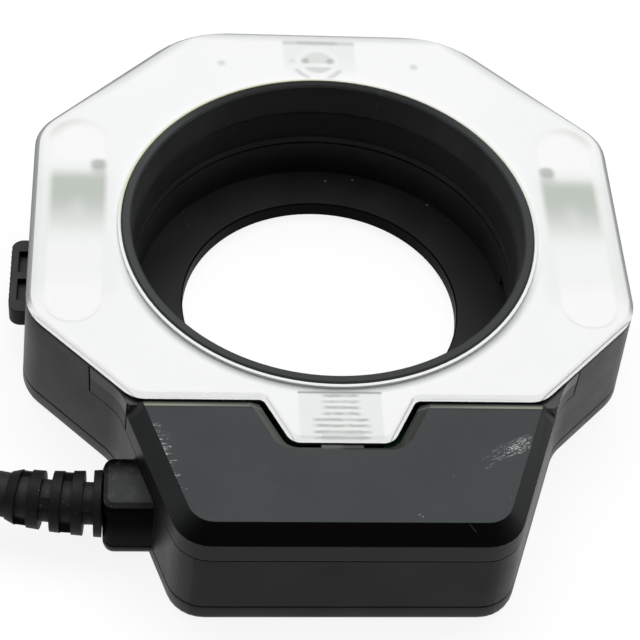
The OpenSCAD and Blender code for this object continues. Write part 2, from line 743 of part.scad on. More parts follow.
// Latch slide on the left: a frame round the bore with its jaw on the far side from its button
module latch_slide(low) {
  inner = adapter_r + 0.35;
  outer = inner + slide_w;
  shift = latch_travel + move_gap;
  jaw = groove_r + 0.25;
  color([0.75, 0.76, 0.78]) difference() {
    union() {
      difference() {
        union() {
          translate([0, 0, low]) cylinder(r = outer, h = slide_t, $fn = 160);
          translate([-shift, 0, low]) cylinder(r = outer, h = slide_t, $fn = 160);
          translate([-tongue_end, -peg_y - 2.6, low]) cube([tongue_end - inner, 2 * peg_y + 5.2, slide_t]);
        }
        translate([0, 0, low - past]) cylinder(r = inner, h = slide_t + 2 * past, $fn = 160);
        translate([-shift, 0, low - past]) cylinder(r = inner, h = slide_t + 2 * past, $fn = 160);
        translate([-shift, -inner, low - past]) cube([shift, 2 * inner, slide_t + 2 * past]);
      }
      intersection() {
        difference() {
          translate([0, 0, low]) cylinder(r = inner + 1, h = slide_t, $fn = 160);
          translate([0, 0, low - past]) cylinder(r = jaw, h = slide_t + 2 * past, $fn = 160);
        }
        translate([0, 0, low]) linear_extrude(slide_t)
          polygon([[0, 0], [outer, -outer * tan(jaw_half_angle)], [outer, outer * tan(jaw_half_angle)]]);
      }
    }
    for (s = [-1, 1]) translate([-peg_x, s * peg_y, low - past])
      cylinder(r = peg_r + fit_gap, h = slide_t + 2 * past);
  }
}

// Latch spring on the left, from its seat on the bore tube to the button's heel
module latch_spring() {
  wire = spring_wire / 2;
  mean = (spring_d - spring_wire) / 2;
  start = -spring_seat_x - wire - 0.1;
  length = heel_x - spring_seat_x - 2 * wire - 0.2;
  steps = 8 * spring_turns;
  color([0.7, 0.71, 0.73]) sweep([for (k = [0:steps])
    let (a = 360 * k / 8)
    [start - length * k / steps, mean * cos(a), spring_z + mean * sin(a)]], wire, 6);
}

// Flash tubes and their reflectors, between the bore tube and the side walls
reflector_x = (spigot_out + body_half - wall_t) / 2;
mouth_half = (body_half - wall_t - spigot_out) / 2 - reflector_gap;
mouth_z = wall_top - lip_h - 0.4;
end_t = 0.8;
end_rim = 1;
tube_room = 0.4;
tube_gap = 0.2;
tube_z = deck_top + 0.55 * (mouth_z - deck_top) - 1.6;
grommet_r = tube_r + 1;
trough_steps = 8;
module reflector() {
  low = deck_top + reflector_sheet;
  depth = mouth_z - low;
  curve = [for (k = [-trough_steps:trough_steps]) k / trough_steps];
  in = mouth_half - reflector_sheet;
  // A narrow trough gets steeper walls, so that the tube stays clear of them
  power = max(2, ln((tube_z - low) / depth) / ln((tube_r + tube_gap) / in));
  color([0.85, 0.86, 0.87]) difference() {
    union() {
      translate([-reflector_x, reflector_l / 2, 0]) rotate([90, 0, 0]) linear_extrude(reflector_l) polygon([
        for (t = curve) [in * t, low + depth * pow(abs(t), power)],
        for (i = [len(curve) - 1:-1:0]) [
          mouth_half * curve[i],
          low - reflector_sheet + (depth + reflector_sheet) * pow(abs(curve[i]), power)
        ]
      ]);
      for (s = [-1, 1])
        translate([-reflector_x - grommet_r - end_rim, s * (reflector_l - end_t) / 2 - end_t / 2, deck_top])
          cube([2 * (grommet_r + end_rim), end_t, mouth_z - deck_top]);
    }
    for (s = [-1, 1]) translate([-reflector_x, s * reflector_l / 2, tube_z]) rotate([90, 0, 0])
      cylinder(r = grommet_r, h = 2 * end_t, center = true);
  }
}

module flash_tube() {
  color([0.9, 0.93, 0.95, 0.4])
  translate([-reflector_x, tube_l / 2, tube_z]) rotate([90, 0, 0]) difference() {
    cylinder(r = tube_r, h = tube_l);
    translate([0, 0, -past]) cylinder(r = tube_r - tube_glass, h = tube_l + 2 * past);
  }
}

electrode_l = 6;
electrode_out = 1.2;
module tube_electrodes() {
  core = tube_r - tube_glass - fit_gap;
  color([0.6, 0.6, 0.62]) for (sx = [-1, 1], sy = [-1, 1])
    translate([sx * reflector_x, sy * tube_l / 2, tube_z]) rotate([sy > 0 ? 90 : -90, 0, 0]) {
      cylinder(r = core, h = electrode_l);
      translate([0, 0, -electrode_out]) cylinder(r = tube_r - 0.2, h = electrode_out);
    }
}

module tube_grommets() {
  length = 3;
  color([0.55, 0.2, 0.12]) for (sx = [-1, 1], sy = [-1, 1])
    translate([sx * reflector_x, sy * (reflector_l / 2 - end_t), tube_z]) rotate([sy > 0 ? -90 : 90, 0, 0])
      difference() {
        union() {
          cylinder(r = grommet_r - fit_gap / 2, h = length);
          translate([0, 0, end_t + 0.05]) cylinder(r = grommet_r + 0.5, h = 1);
        }
        translate([0, 0, -past]) cylinder(r = tube_r + fit_gap / 2, h = length + 2 * past);
      }
}

// Leads from the tube ends to the sockets under the board
lead_r = 0.7;
lead_z = deck_top + lead_r + 0.4;
lead_gap = 0.8;
lead_start = 1.2;
tube_end = tube_l / 2 + electrode_out;
board_half = 29;
socket_size = [6, 4, 4];
socket_inset = 5;
socket_gap = 0.5;
// At the board's edge, or clear of the cord's clamp where that is nearer
socket = [
  min(board_half - socket_inset, -(saddle_x + saddle_l) - socket_size.x / 2 - socket_gap), -48.6
];
// Point of a lead at a height, kept clear of the slanted wall
function beside_slant(x, y, z) =
  [-x, -min(y, near_sum(z) - (wall_t + lead_r + lead_gap) * sqrt(2) - x), z];
module tube_lead() {
  color([0.6, 0.1, 0.1]) sweep(square_ends([
    [-reflector_x, -tube_end - 0.2, tube_z], [-reflector_x, -tube_end - lead_start, tube_z],
    beside_slant(reflector_x - 2.4, tube_end + 3, tube_z - 2),
    beside_slant(reflector_x - 6, tube_end + 6.6, lead_z + 0.3),
    beside_slant(reflector_x - 13, tube_end + 12.6, lead_z), [-socket.x - 7, socket.y + 5.2, lead_z],
    [-socket.x - 4.6, socket.y, board_low - 2.1], [-socket.x - 3.2, socket.y, board_low - 2.1]
  ], 3), lead_r, 6);
}

module return_lead() {
  side = spigot_out + reflector_gap / 2;
  color([0.1, 0.1, 0.1]) sweep(square_ends([
    [-reflector_x, tube_end + 0.2, tube_z], [-reflector_x, tube_end + 0.9, tube_z],
    [-reflector_x + 3, tube_end + 1.6, tube_z - 2.4], [-side - 1.4, tube_l / 2 - 2.6, lead_z + 0.4],
    [-side - 0.2, reflector_l / 2 - 4, lead_z], [-side - 0.1, 0, lead_z],
    [-side - 0.2, 4 - reflector_l / 2, lead_z], [-side + 0.4, -tube_l / 2 - 3, lead_z],
    [-side + 6.6, -tube_l / 2 - 10, lead_z], [-socket.x - 6.2, socket.y + 6.6, lead_z],
    [-socket.x, socket.y + 3.8, board_low - 2.6], [-socket.x, socket.y + 2.2, board_low - 2.6]
  ], 3), 0.55, 6);
}

// Lamp at the far side of the ring
far_holder_half = 7.4;
far_holder_top = deck_top + 5;
module far_lamp_holder() {
  color([0.14, 0.14, 0.15]) difference() {
    translate([-far_holder_half, far_lamp_y - 5.2, deck_top])
      cube([2 * far_holder_half, 10.6, far_holder_top - deck_top]);
    translate([0, far_lamp_y, deck_top + 2]) cylinder(r = bulb_r + 0.3, h = 10);
  }
}

module far_lamp_cup() {
  high = mouth_z - 0.2;
  neck = bulb_r + 0.7;
  color([0.88, 0.88, 0.86]) translate([0, far_lamp_y, 0]) rotate_extrude() polygon([
    [neck - 0.4, far_holder_top], [neck + 0.2, far_holder_top], [far_cup_r, high], [far_cup_r - 0.5, high]
  ]);
}

module bulb(low, high) {
  translate([0, 0, low]) cylinder(r = bulb_r, h = high - bulb_r - low);
  translate([0, 0, high - bulb_r]) sphere(r = bulb_r);
}

module far_lamp_bulb() {
  color([0.95, 0.93, 0.85, 0.6]) translate([0, far_lamp_y, 0]) bulb(deck_top + 2, far_holder_top + 3.4);
}

// Main board under the panel, and the lamp at the diffuser's tab
board_t = 1.6;
board_low = upper_seam - board_t - 0.8;
board_top = board_low + board_t;
board_far = -(spigot_out + 0.8);
board_near = 11.8 - block_reach;
board_post = [board_half - 3, board_near + 3.8];
chip_gap = 0.8;
chip = [8, 6, 1.4];
chip_inset = 7.5;
small_chip = [4, 4.6, 1];
small_chip_inset = 4;
small_chip_y = -53.4;
capacitor = [7.2, 5, 8];
capacitor_place = [4.6, -61];
coil_place = [14, -58];
near_lamp_y = -(diffuser_near + tab_length / 2 - 1.2);
near_cup_half_y = 5.6;
near_lens_low = wall_top - 1.7;
module near_lamp_cup() {
  t = 0.6;
  half_x = near_lens_half;
  color([0.86, 0.86, 0.85]) difference() {
    translate([-half_x, near_lamp_y - near_cup_half_y, board_top])
      cube([2 * half_x, 2 * near_cup_half_y, near_lens_low - board_top]);
    hull() {
      translate([-half_x + t, near_lamp_y - near_cup_half_y + t, near_lens_low + 0.1])
        cube([2 * (half_x - t), 2 * (near_cup_half_y - t), 0.1]);
      translate([-2.6, near_lamp_y - 2.6, board_top + 1.6]) cube([5.2, 5.2, 0.1]);
    }
    translate([0, near_lamp_y, board_top - past]) cylinder(r = bulb_r + 0.2, h = 4);
  }
}

module near_lamp_bulb() {
  color([0.95, 0.93, 0.85, 0.6]) translate([0, near_lamp_y, 0]) bulb(board_top, board_top + 4.6);
}

module near_lamp_lens() {
  rib_pitch = 2 * near_cup_half_y / (near_ribs + 0.6);
  rib_r = rib_pitch * 0.3;
  plate = near_lens_low + 0.9;
  color([0.9, 0.92, 0.93, 0.6]) {
    translate([-near_lens_half, near_lamp_y - near_cup_half_y, near_lens_low])
      cube([2 * near_lens_half, 2 * near_cup_half_y, plate - near_lens_low]);
    for (k = [0:near_ribs - 1])
      translate([0, near_lamp_y + (k - (near_ribs - 1) / 2) * rib_pitch, plate]) rotate([0, 90, 0])
        cylinder(r = rib_r, h = 2 * near_lens_half - 2, center = true, $fn = 24);
  }
}

module main_board() {
  color([0.1, 0.35, 0.18]) difference() {
    translate([-board_half, board_near, board_low]) cube([2 * board_half, board_far - board_near, board_t]);
    for (s = [-1, 1]) translate([s * board_post.x, board_post.y, board_low - past])
      cylinder(r = 1.2, h = board_t + 2 * past);
  }
}

module board_chips() {
  color([0.06, 0.06, 0.07]) for (s = [-1, 1]) {
    translate([s * (board_post.x - chip_inset) - chip.x / 2, board_near + chip_gap, board_top]) cube(chip);
    translate([s * (board_post.x - small_chip_inset) - small_chip.x / 2, small_chip_y, board_top])
      cube(small_chip);
  }
}

module trigger_coils() {
  coil_h = 8;
  color([0.7, 0.42, 0.16]) for (s = [-1, 1])
  translate([s * coil_place.x, coil_place.y, board_low - coil_h]) {
    cylinder(r = 4.4, h = coil_h);
    for (z = [0, coil_h - 1]) translate([0, 0, z]) cylinder(r = 5, h = 1);
  }
}

module trigger_capacitors() {
  color([0.75, 0.55, 0.12]) for (s = [-1, 1])
    translate([s * capacitor_place.x - capacitor.x / 2, capacitor_place.y, board_low - capacitor.z])
      cube(capacitor);
}

module wire_sockets() {
  color([0.9, 0.9, 0.86]) for (s = [-1, 1])
    translate([s * socket.x, socket.y, board_low] - [socket_size.x / 2, socket_size.y / 2, socket_size.z])
      cube(socket_size);
}

module board_screws() {
  color([0.7, 0.71, 0.72]) for (s = [-1, 1]) translate([s * board_post.x, board_post.y, board_low - 1.2])
    rotate([180, 0, 0]) screw(1.9, 1.2, 0.8, 6);
}

module rear_cover_screws() {
  color([0.25, 0.25, 0.26]) for (p = concat(ring_bosses, block_bosses))
    translate([p.x, p.y, head_sink - 1.7]) rotate([180, 0, 0]) screw(head_r, 1.7, 1, 9);
}

// Strain relief: rings along a bent core, with ribs turned a quarter turn from gap to gap
relief_start = box_left - 0.12;
relief_bend_r = 85;
relief_parts = [1.5, 1.9, 2.1, 1.95, 1.9, 1.95, 2.25, 2.15, 1.95];
relief_turn = 49;
relief_rib = 2.2;
relief_l = sum_list(relief_parts);
relief_sleeve = 4;
relief_sleeve_d = 8.6;
function relief_from(i) = i == 0 ? 0 : relief_from(i - 1) + relief_parts[i - 1];
function relief_angle(s) = 180 / PI * s / relief_bend_r;
// Frame at a length along the relief, with local X pointing outwards along it
module at_relief(s) {
  translate([relief_start, box_y + relief_bend_r, cord_z]) rotate(-relief_angle(s))
    translate([0, -relief_bend_r, 0]) rotate(180) children();
}
// Same place as numbers: a point at length s, moved by out along the relief
function relief_point(s, out) =
  let (a = relief_angle(s))
  [
    relief_start - relief_bend_r * sin(a) - out * cos(a),
    box_y + relief_bend_r * (1 - cos(a)) + out * sin(a), cord_z
  ];

module bent_bar(d, low, high) {
  translate([relief_start, box_y + relief_bend_r, cord_z])
    rotate(-90 - relief_angle(high)) rotate_extrude(angle = relief_angle(high - low), $fn = 96)
      translate([relief_bend_r, 0]) circle(d = d);
}

module strain_relief() {
  flange_r = box_half - box_wall - fit_gap;
  color([0.09, 0.09, 0.095]) difference() {
    union() {
      bent_bar(relief_core_d, 0, relief_l);
      at_relief(relief_l) rotate([0, 90, 0]) cylinder(d = relief_sleeve_d, h = relief_sleeve);
      at_relief(0) translate([-box_wall - 0.4, 0, 0]) rotate([0, 90, 0])
        cylinder(r = relief_hole_r - fit_gap, h = box_wall + 0.6);
      at_relief(0) translate([-box_wall - 1.7, 0, 0]) rotate([0, 90, 0]) cylinder(r = flange_r, h = 1.4);
      for (i = [0:len(relief_parts) - 1]) {
        s = relief_from(i);
        d1 = between(relief_d, relief_end_d, s / relief_l);
        if (i % 2 == 0) at_relief(s + relief_parts[i] / 2) rotate([0, 90, 0])
          cylinder(d1 = d1, d2 = d1 - (i == len(relief_parts) - 1 ? 1.4 : 0.2), h = relief_parts[i],
            center = true);
        else at_relief(s + relief_parts[i] / 2) rotate([relief_turn + (i % 4 == 1 ? 0 : 90), 0, 0])
          cube([relief_parts[i] + 0.4, d1 - 0.8, relief_rib], center = true);
      }
    }
    at_relief(0) translate([-box_wall - 3, 0, 0]) rotate([0, 90, 0])
      cylinder(r = cord_d / 2 + fit_gap / 2, h = box_wall + 3.1);
  }
}

module cord_inner() {
  color([0.1, 0.1, 0.105]) translate([relief_start - 0.05, box_y, cord_z]) rotate([0, 90, 0])
    cylinder(d = cord_d, h = cord_end - relief_start);
}

module cord_clamp() {
  color([0.2, 0.2, 0.21]) difference() {
    saddle_half_block(cord_z + saddle_split, saddle_top);
    for (s = [-1, 1]) translate([saddle_x + saddle_l / 2, box_y + s * saddle_screw_y, 0])
      cylinder(r = 0.85, h = saddle_top + past);
  }
}

module clamp_screws() {
  color([0.7, 0.71, 0.72]) for (s = [-1, 1])
    translate([saddle_x + saddle_l / 2, box_y + s * saddle_screw_y, saddle_top + 1])
      screw(1.5, 1, 0.75, 8);
}

// Cord: from the strain relief down to the surface, into a coil of two layers, and out to the plug
cord_r = cord_d / 2;
cord_space = 1.4;
coil_pitch = cord_d + cord_space;
coil_low = cord_r + tie_t + 0.3;
coil_high = coil_low + coil_pitch;
coil_centre = [-112, -9];
coil_turns_out = coil_turns_in - 0.25;
coil_steps = 24;
function coil_point(turn) =
  let (
    climb = coil_turns_in + 0.5,
    t = max(0, min(1, (turn - coil_turns_in) / 0.5)),
    r = coil_r - coil_pitch * min(turn, coil_turns_in) + coil_pitch * max(turn - climb, 0),
    a = -90 - 360 * turn
  )
  [
    coil_centre.x + r * cos(a), coil_centre.y + r * sin(a),
    between(coil_low, coil_high, t * t * (3 - 2 * t))
  ];
coil_turns = coil_turns_in + 0.5 + coil_turns_out;
coil_route = [for (k = [0:coil_steps * coil_turns]) coil_point(k / coil_steps)];
coil_last = len(coil_route) - 1;
coil_heading = unit(coil_route[1] - coil_route[0]);
coil_leaving = unit(coil_route[coil_last] - coil_route[coil_last - 1]);
lead_first = relief_point(relief_l, relief_sleeve);
lead_route = square_ends([
  lead_first, relief_point(relief_l, relief_sleeve + 3), [-76, -51, 8.6], [-84, -48.9, 6.2],
  [-92, -47.2, 4.6], [-100, -46.2, 4.05], coil_route[0] - 4 * coil_heading, coil_route[0]
], 3);
plug_start = [-149, 26, plug_r];
tail_route = square_ends([
  coil_route[coil_last], coil_route[coil_last] + 3 * coil_leaving, [-148, 3, 11],
  [-148.8, 10, 9.6], [-149, 16, 7.4], plug_start - [0, 4, 0], plug_start
], 3);

module cord_lead() { color([0.1, 0.1, 0.105]) sweep(lead_route, cord_r, 10); }
module cord_coil() { color([0.1, 0.1, 0.105]) sweep(coil_route, cord_r, 6); }
module cord_tail() { color([0.1, 0.1, 0.105]) sweep(tail_route, cord_r, 10); }

// Least gap between stretches of the coil that lie more than half a turn apart
coil_gap = min([for (i = [0:coil_last], j = [i + coil_steps / 2:1:coil_last])
  norm(coil_route[i] - coil_route[j])]) - cord_d;
echo(coil_gap = coil_gap);
echo(cord_length = route_length(lead_route) + route_length(coil_route) + route_length(tail_route));

module cord_tie() {
  turn = 0.5;
  inside = coil_r - coil_pitch * coil_turns_in - cord_r - 0.9;
  outside = coil_r - coil_pitch * turn + cord_r + 0.4;
  high = coil_high + cord_r + 0.5;
  color([0.15, 0.15, 0.155]) translate([coil_centre.x, coil_centre.y, 0]) rotate(-90 - 360 * turn)
    translate([0, tie_w / 2, 0]) rotate([90, 0, 0]) difference() {
      linear_extrude(tie_w) polygon(rounded([
        [inside - tie_t, 0, 1.4], [outside + tie_t, 0, 1.4],
        [outside + tie_t, high + tie_t, 2.6], [inside - tie_t, high + tie_t, 2.6]
      ]));
      translate([0, 0, -past]) linear_extrude(tie_w + 2 * past) polygon(rounded([
        [inside, tie_t, 0.8], [outside, tie_t, 0.8], [outside, high, 2], [inside, high, 2]
      ]));
    }
}

// Round plug at the end of the cord, lying beside the coil
plug_sleeve_l = 8;
ferrule_r = 4.6;
ferrule_l = 8;
module along_plug(s) {
  translate([plug_start.x, plug_start.y + s, plug_r]) rotate([-90, 0, 0]) children();
}
module plug_sleeve() {
  color([0.1, 0.1, 0.105]) along_plug(0) cylinder(r1 = cord_r + 0.7, r2 = plug_r - 1.2, h = plug_sleeve_l);
}
module plug_body() {
  grips = 6;
  color([0.12, 0.12, 0.125]) along_plug(plug_sleeve_l) difference() {
    cylinder(r = plug_r, h = plug_l);
    for (k = [0:grips - 1]) translate([0, 0, 3 + k * 2]) difference() {
      cylinder(r = plug_r + past, h = 0.9);
      translate([0, 0, -past]) cylinder(r = plug_r - 0.5, h = 3);
    }
  }
}
module plug_ferrule() {
  color([0.75, 0.76, 0.78]) along_plug(plug_sleeve_l + plug_l) difference() {
    cylinder(r = ferrule_r, h = ferrule_l);
    translate([0, 0, 1.4]) cylinder(r = ferrule_r - 0.6, h = ferrule_l);
  }
}
module plug_pins() {
  pins = 5;
  color([0.8, 0.66, 0.3]) along_plug(plug_sleeve_l + plug_l + 1.4)
    for (k = [0:pins - 1]) rotate(360 * k / pins) translate([2.3, 0, 0])
      cylinder(r = 0.45, h = ferrule_l - 3);
}

module release_button_left() { release_button(slide_low + slide_t); }
module release_button_right() { on_side(1) release_button(slide_high + slide_t); }
module latch_slide_left() { latch_slide(slide_low); }
module latch_slide_right() { on_side(1) latch_slide(slide_high); }
module latch_spring_left() { latch_spring(); }
module latch_spring_right() { on_side(1) latch_spring(); }
module reflector_left() { reflector(); }
module reflector_right() { on_side(1) reflector(); }
module flash_tube_left() { flash_tube(); }
module flash_tube_right() { on_side(1) flash_tube(); }
module tube_lead_left() { tube_lead(); }
module tube_lead_right() { on_side(1) tube_lead(); }
module return_lead_left() { return_lead(); }
module return_lead_right() { on_side(1) return_lead(); }

rear_cover();
middle_housing();
front_cover();
diffuser();
front_collar();
stop_ring();
adapter_ring();
release_button_left();
release_button_right();
latch_slide_left();
latch_slide_right();
latch_spring_left();
latch_spring_right();
reflector_left();
reflector_right();
flash_tube_left();
flash_tube_right();
tube_electrodes();
tube_grommets();
tube_lead_left();
tube_lead_right();
return_lead_left();
return_lead_right();
far_lamp_holder();
far_lamp_cup();
far_lamp_bulb();
near_lamp_cup();
near_lamp_bulb();
near_lamp_lens();
main_board();
board_chips();
trigger_coils();
trigger_capacitors();
wire_sockets();
board_screws();
rear_cover_screws();
strain_relief();
cord_inner();
cord_clamp();
clamp_screws();
cord_lead();
cord_coil();
cord_tail();
cord_tie();
plug_sleeve();
plug_body();
plug_ferrule();
plug_pins();
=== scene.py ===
"""Macro ring flash head: finishes, springs, cord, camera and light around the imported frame."""
import json
import math

import bpy
from mathutils import Matrix, Vector

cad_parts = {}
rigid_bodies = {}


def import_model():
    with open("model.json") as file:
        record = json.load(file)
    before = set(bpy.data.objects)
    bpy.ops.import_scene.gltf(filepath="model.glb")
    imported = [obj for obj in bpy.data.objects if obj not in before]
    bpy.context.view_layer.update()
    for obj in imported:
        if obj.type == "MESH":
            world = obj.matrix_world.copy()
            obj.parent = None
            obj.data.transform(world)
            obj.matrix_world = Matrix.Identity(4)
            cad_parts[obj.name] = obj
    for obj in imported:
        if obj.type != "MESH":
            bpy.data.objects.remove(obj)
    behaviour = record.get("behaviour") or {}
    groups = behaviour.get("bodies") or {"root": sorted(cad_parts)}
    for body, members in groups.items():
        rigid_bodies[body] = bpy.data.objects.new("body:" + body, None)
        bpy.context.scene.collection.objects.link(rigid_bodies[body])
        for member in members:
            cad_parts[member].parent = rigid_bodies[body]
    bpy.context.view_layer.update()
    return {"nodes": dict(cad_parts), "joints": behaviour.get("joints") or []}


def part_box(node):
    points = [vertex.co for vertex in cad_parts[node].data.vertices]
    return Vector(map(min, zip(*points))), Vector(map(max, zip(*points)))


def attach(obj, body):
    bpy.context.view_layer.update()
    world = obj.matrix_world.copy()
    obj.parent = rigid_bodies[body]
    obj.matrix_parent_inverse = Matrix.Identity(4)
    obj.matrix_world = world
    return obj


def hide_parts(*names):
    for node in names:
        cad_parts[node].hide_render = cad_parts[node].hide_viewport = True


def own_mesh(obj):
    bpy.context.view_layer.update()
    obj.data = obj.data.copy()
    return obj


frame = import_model()
nodes = frame["nodes"]
scene = bpy.context.scene
MM = 0.001

# Facets that stand for curved surfaces are shaded as one
WELD_DISTANCE = 1e-6
SMOOTH_BELOW = ((20, ("front_cover", "middle_housing", "diffuser")), (32, ("rear_cover",)))


def smoothing(limit):
    """Node group that shades faces as one surface where they meet below an angle in degrees."""
    group = bpy.data.node_groups.new(f"smooth_below_{limit}", "GeometryNodeTree")
    for way in ("INPUT", "OUTPUT"):
        group.interface.new_socket("Geometry", in_out=way, socket_type="NodeSocketGeometry")
    came = group.nodes.new("NodeGroupInput")
    left = group.nodes.new("NodeGroupOutput")
    weld = group.nodes.new("GeometryNodeMergeByDistance")
    weld.inputs["Distance"].default_value = WELD_DISTANCE
    angle = group.nodes.new("GeometryNodeInputMeshEdgeAngle")
    sharp = group.nodes.new("FunctionNodeCompare")
    sharp.inputs[1].default_value = math.radians(limit)
    shade = group.nodes.new("GeometryNodeSetMeshNormal")
    shade.inputs["Remove Custom"].default_value = True
    group.links.new(came.outputs[0], weld.inputs["Geometry"])
    group.links.new(weld.outputs[0], shade.inputs["Mesh"])
    group.links.new(angle.outputs["Unsigned Angle"], sharp.inputs[0])
    group.links.new(sharp.outputs[0], shade.inputs["Edge Sharpness"])
    group.links.new(shade.outputs[0], left.inputs[0])
    return group


for limit, names in SMOOTH_BELOW:
    group = smoothing(limit)
    for name in names:
        nodes[name].modifiers.new("smooth", "NODES").node_group = group

# Node graphs
BEVEL_SAMPLES = 4


class Graph:
    """Short names for building the nodes of one material or world."""

    def __init__(self, owner, shader="Principled BSDF"):
        owner.use_nodes = True
        self.owner = owner
        self.tree = owner.node_tree
        self.shader = self.tree.nodes[shader]

    def feed(self, socket, value):
        if isinstance(value, bpy.types.NodeSocket):
            self.tree.links.new(value, socket)
        elif value is not None:
            socket.default_value = value

    def node(self, kind, **settings):
        made = self.tree.nodes.new(kind)
        for key, value in settings.items():
            setattr(made, key, value)
        return made

    def shade(self, name, value):
        self.feed(self.shader.inputs[name], value)

    def math(self, operation, a, b=None):
        made = self.node("ShaderNodeMath", operation=operation)
        for socket, value in zip(made.inputs, (a, b)):
            self.feed(socket, value)
        return made.outputs[0]

    def chain(self, operation, values):
        total = values[0]
        for value in values[1:]:
            total = self.math(operation, total, value)
        return total

    def add(self, *values):
        return self.chain("ADD", values)

    def times(self, *values):
        return self.chain("MULTIPLY", values)

    def most(self, *values):
        return self.chain("MAXIMUM", values)

    def least(self, *values):
        return self.chain("MINIMUM", values)

    def minus(self, a, b):
        return self.math("SUBTRACT", a, b)

    def without(self, value):
        return self.minus(1.0, value)

    def size(self, value):
        return self.math("ABSOLUTE", value)

    def reach(self, a, b):
        """Length of a line that goes a one way and b across it."""
        return self.math("SQRT", self.add(self.times(a, a), self.times(b, b)))

    def ramp(self, value, low, high, start=0.0, end=1.0):
        """Smooth step from start at low to end at high."""
        made = self.node("ShaderNodeMapRange", interpolation_type="SMOOTHSTEP")
        for socket, given in zip(made.inputs, (value, low, high, start, end)):
            self.feed(socket, given)
        return made.outputs[0]

    def band(self, value, low, high, soft):
        """1 between low and high, fading to 0 over soft on both sides."""
        rise = self.ramp(value, low - soft, low + soft)
        return self.times(rise, self.ramp(value, high + soft, high - soft))

    def parts(self, vector):
        made = self.node("ShaderNodeSeparateXYZ")
        self.feed(made.inputs[0], vector)
        return made.outputs[0], made.outputs[1], made.outputs[2]

    def place(self):
        """Object coordinates in millimetres."""
        scaled = self.node("ShaderNodeVectorMath", operation="SCALE")
        self.feed(scaled.inputs[0], self.node("ShaderNodeTexCoord").outputs["Object"])
        scaled.inputs["Scale"].default_value = 1 / MM
        return scaled.outputs[0]

    def facing(self):
        """The face's own normal, as three parts."""
        return self.parts(self.node("ShaderNodeNewGeometry").outputs["True Normal"])

    def along(self, vector, turn, length, width):
        """Coordinates for marks of that length and width, turned by an angle in degrees."""
        made = self.node("ShaderNodeMapping", vector_type="TEXTURE")
        self.feed(made.inputs["Vector"], vector)
        made.inputs["Rotation"].default_value = (0, 0, math.radians(turn))
        made.inputs["Scale"].default_value = (length, width, 1.0)
        return made.outputs[0]

    def noise(self, vector, scale, detail=2.0, rough=0.5):
        made = self.node("ShaderNodeTexNoise")
        self.feed(made.inputs["Vector"], vector)
        made.inputs["Scale"].default_value = scale
        made.inputs["Detail"].default_value = detail
        made.inputs["Roughness"].default_value = rough
        return made.outputs["Fac"]

    def specks(self, vector, scale, size):
        """Small round spots, one in each cell of a random grid: 1 inside, 0 outside."""
        made = self.node("ShaderNodeTexVoronoi")
        self.feed(made.inputs["Vector"], vector)
        made.inputs["Scale"].default_value = scale
        return self.ramp(made.outputs["Distance"], size, size * 0.5)

    def scatter(self, place, specks, patches, detail=2.0):
        """Specks, given as scale and size, in patches, given as the noise's scale and its limits."""
        scale, low, high = patches
        return self.times(self.specks(place, *specks), self.ramp(self.noise(place, scale, detail), low, high))

    def mix(self, factor, a, b):
        made = self.node("ShaderNodeMix", data_type="RGBA")
        self.feed(made.inputs[0], factor)
        self.feed(made.inputs[6], colour(a))
        self.feed(made.inputs[7], colour(b))
        return made.outputs[2]

    def mottled(self, noise, base, low, high):
        """That colour, varied by the noise between low and high times itself."""
        return self.mix(self.ramp(noise, 0.3, 0.7), [c * low for c in base], [c * high for c in base])

    def dim(self, tone, share):
        """That share of the tone, over black."""
        return self.mix(share, 0.0, tone)

    def paint(self, tone, mask, strength, over):
        """That colour laid over the tone, as strong as the mask says."""
        return self.mix(self.times(mask, strength), tone, over)

    def uneven(self, noise, middle, spread):
        """Roughness round a middle value, varied by the noise."""
        self.shade("Roughness", self.ramp(noise, 0.2, 0.8, middle - spread, middle + spread))

    def rounded(self, radius):
        """Normals as on edges of that radius in millimetres."""
        bevel = self.node("ShaderNodeBevel", samples=BEVEL_SAMPLES)
        bevel.inputs["Radius"].default_value = radius * MM
        return bevel.outputs[0]

    def edge(self, radius):
        """Grows towards 1 on edges of about that radius in millimetres."""
        dot = self.node("ShaderNodeVectorMath", operation="DOT_PRODUCT")
        self.feed(dot.inputs[0], self.rounded(radius))
        self.feed(dot.inputs[1], self.node("ShaderNodeNewGeometry").outputs["Normal"])
        return self.without(dot.outputs["Value"])

    def worn(self, place, radius, limits, scale, start):
        """Rubbed edges, in patches of that scale."""
        patches = self.ramp(self.noise(place, scale, 3.0), start, 0.75)
        return self.times(self.ramp(self.edge(radius), *limits), patches)

    def bump(self, height, strength, distance, soft, lift=None):
        """Grain on edges rounded to soft millimetres; lift turns the shading towards straight up."""
        normal = self.rounded(soft)
        if lift is not None:
            lean = self.node("ShaderNodeMix", data_type="VECTOR")
            self.feed(lean.inputs[0], lift)
            self.feed(lean.inputs[4], normal)
            lean.inputs[5].default_value = (0.0, 0.0, 1.0)
            even = self.node("ShaderNodeVectorMath", operation="NORMALIZE")
            self.feed(even.inputs[0], lean.outputs[1])
            normal = even.outputs[0]
        made = self.node("ShaderNodeBump")
        self.feed(made.inputs["Height"], height)
        made.inputs["Strength"].default_value = strength
        made.inputs["Distance"].default_value = distance * MM
        self.feed(made.inputs["Normal"], normal)
        self.shade("Normal", made.outputs[0])

    def box_distance(self, x, y, low, high, radius):
        """Signed distance in millimetres to a rounded rectangle, below zero inside."""
        off = []
        for value, a, b in ((x, low[0], high[0]), (y, low[1], high[1])):
            away = self.size(self.minus(value, (a + b) / 2))
            off.append(self.minus(away, (b - a) / 2 - radius))
        outside = [self.most(part, 0.0) for part in off]
        inside = self.least(self.most(*off), 0.0)
        return self.minus(self.add(self.reach(*outside), inside), radius)

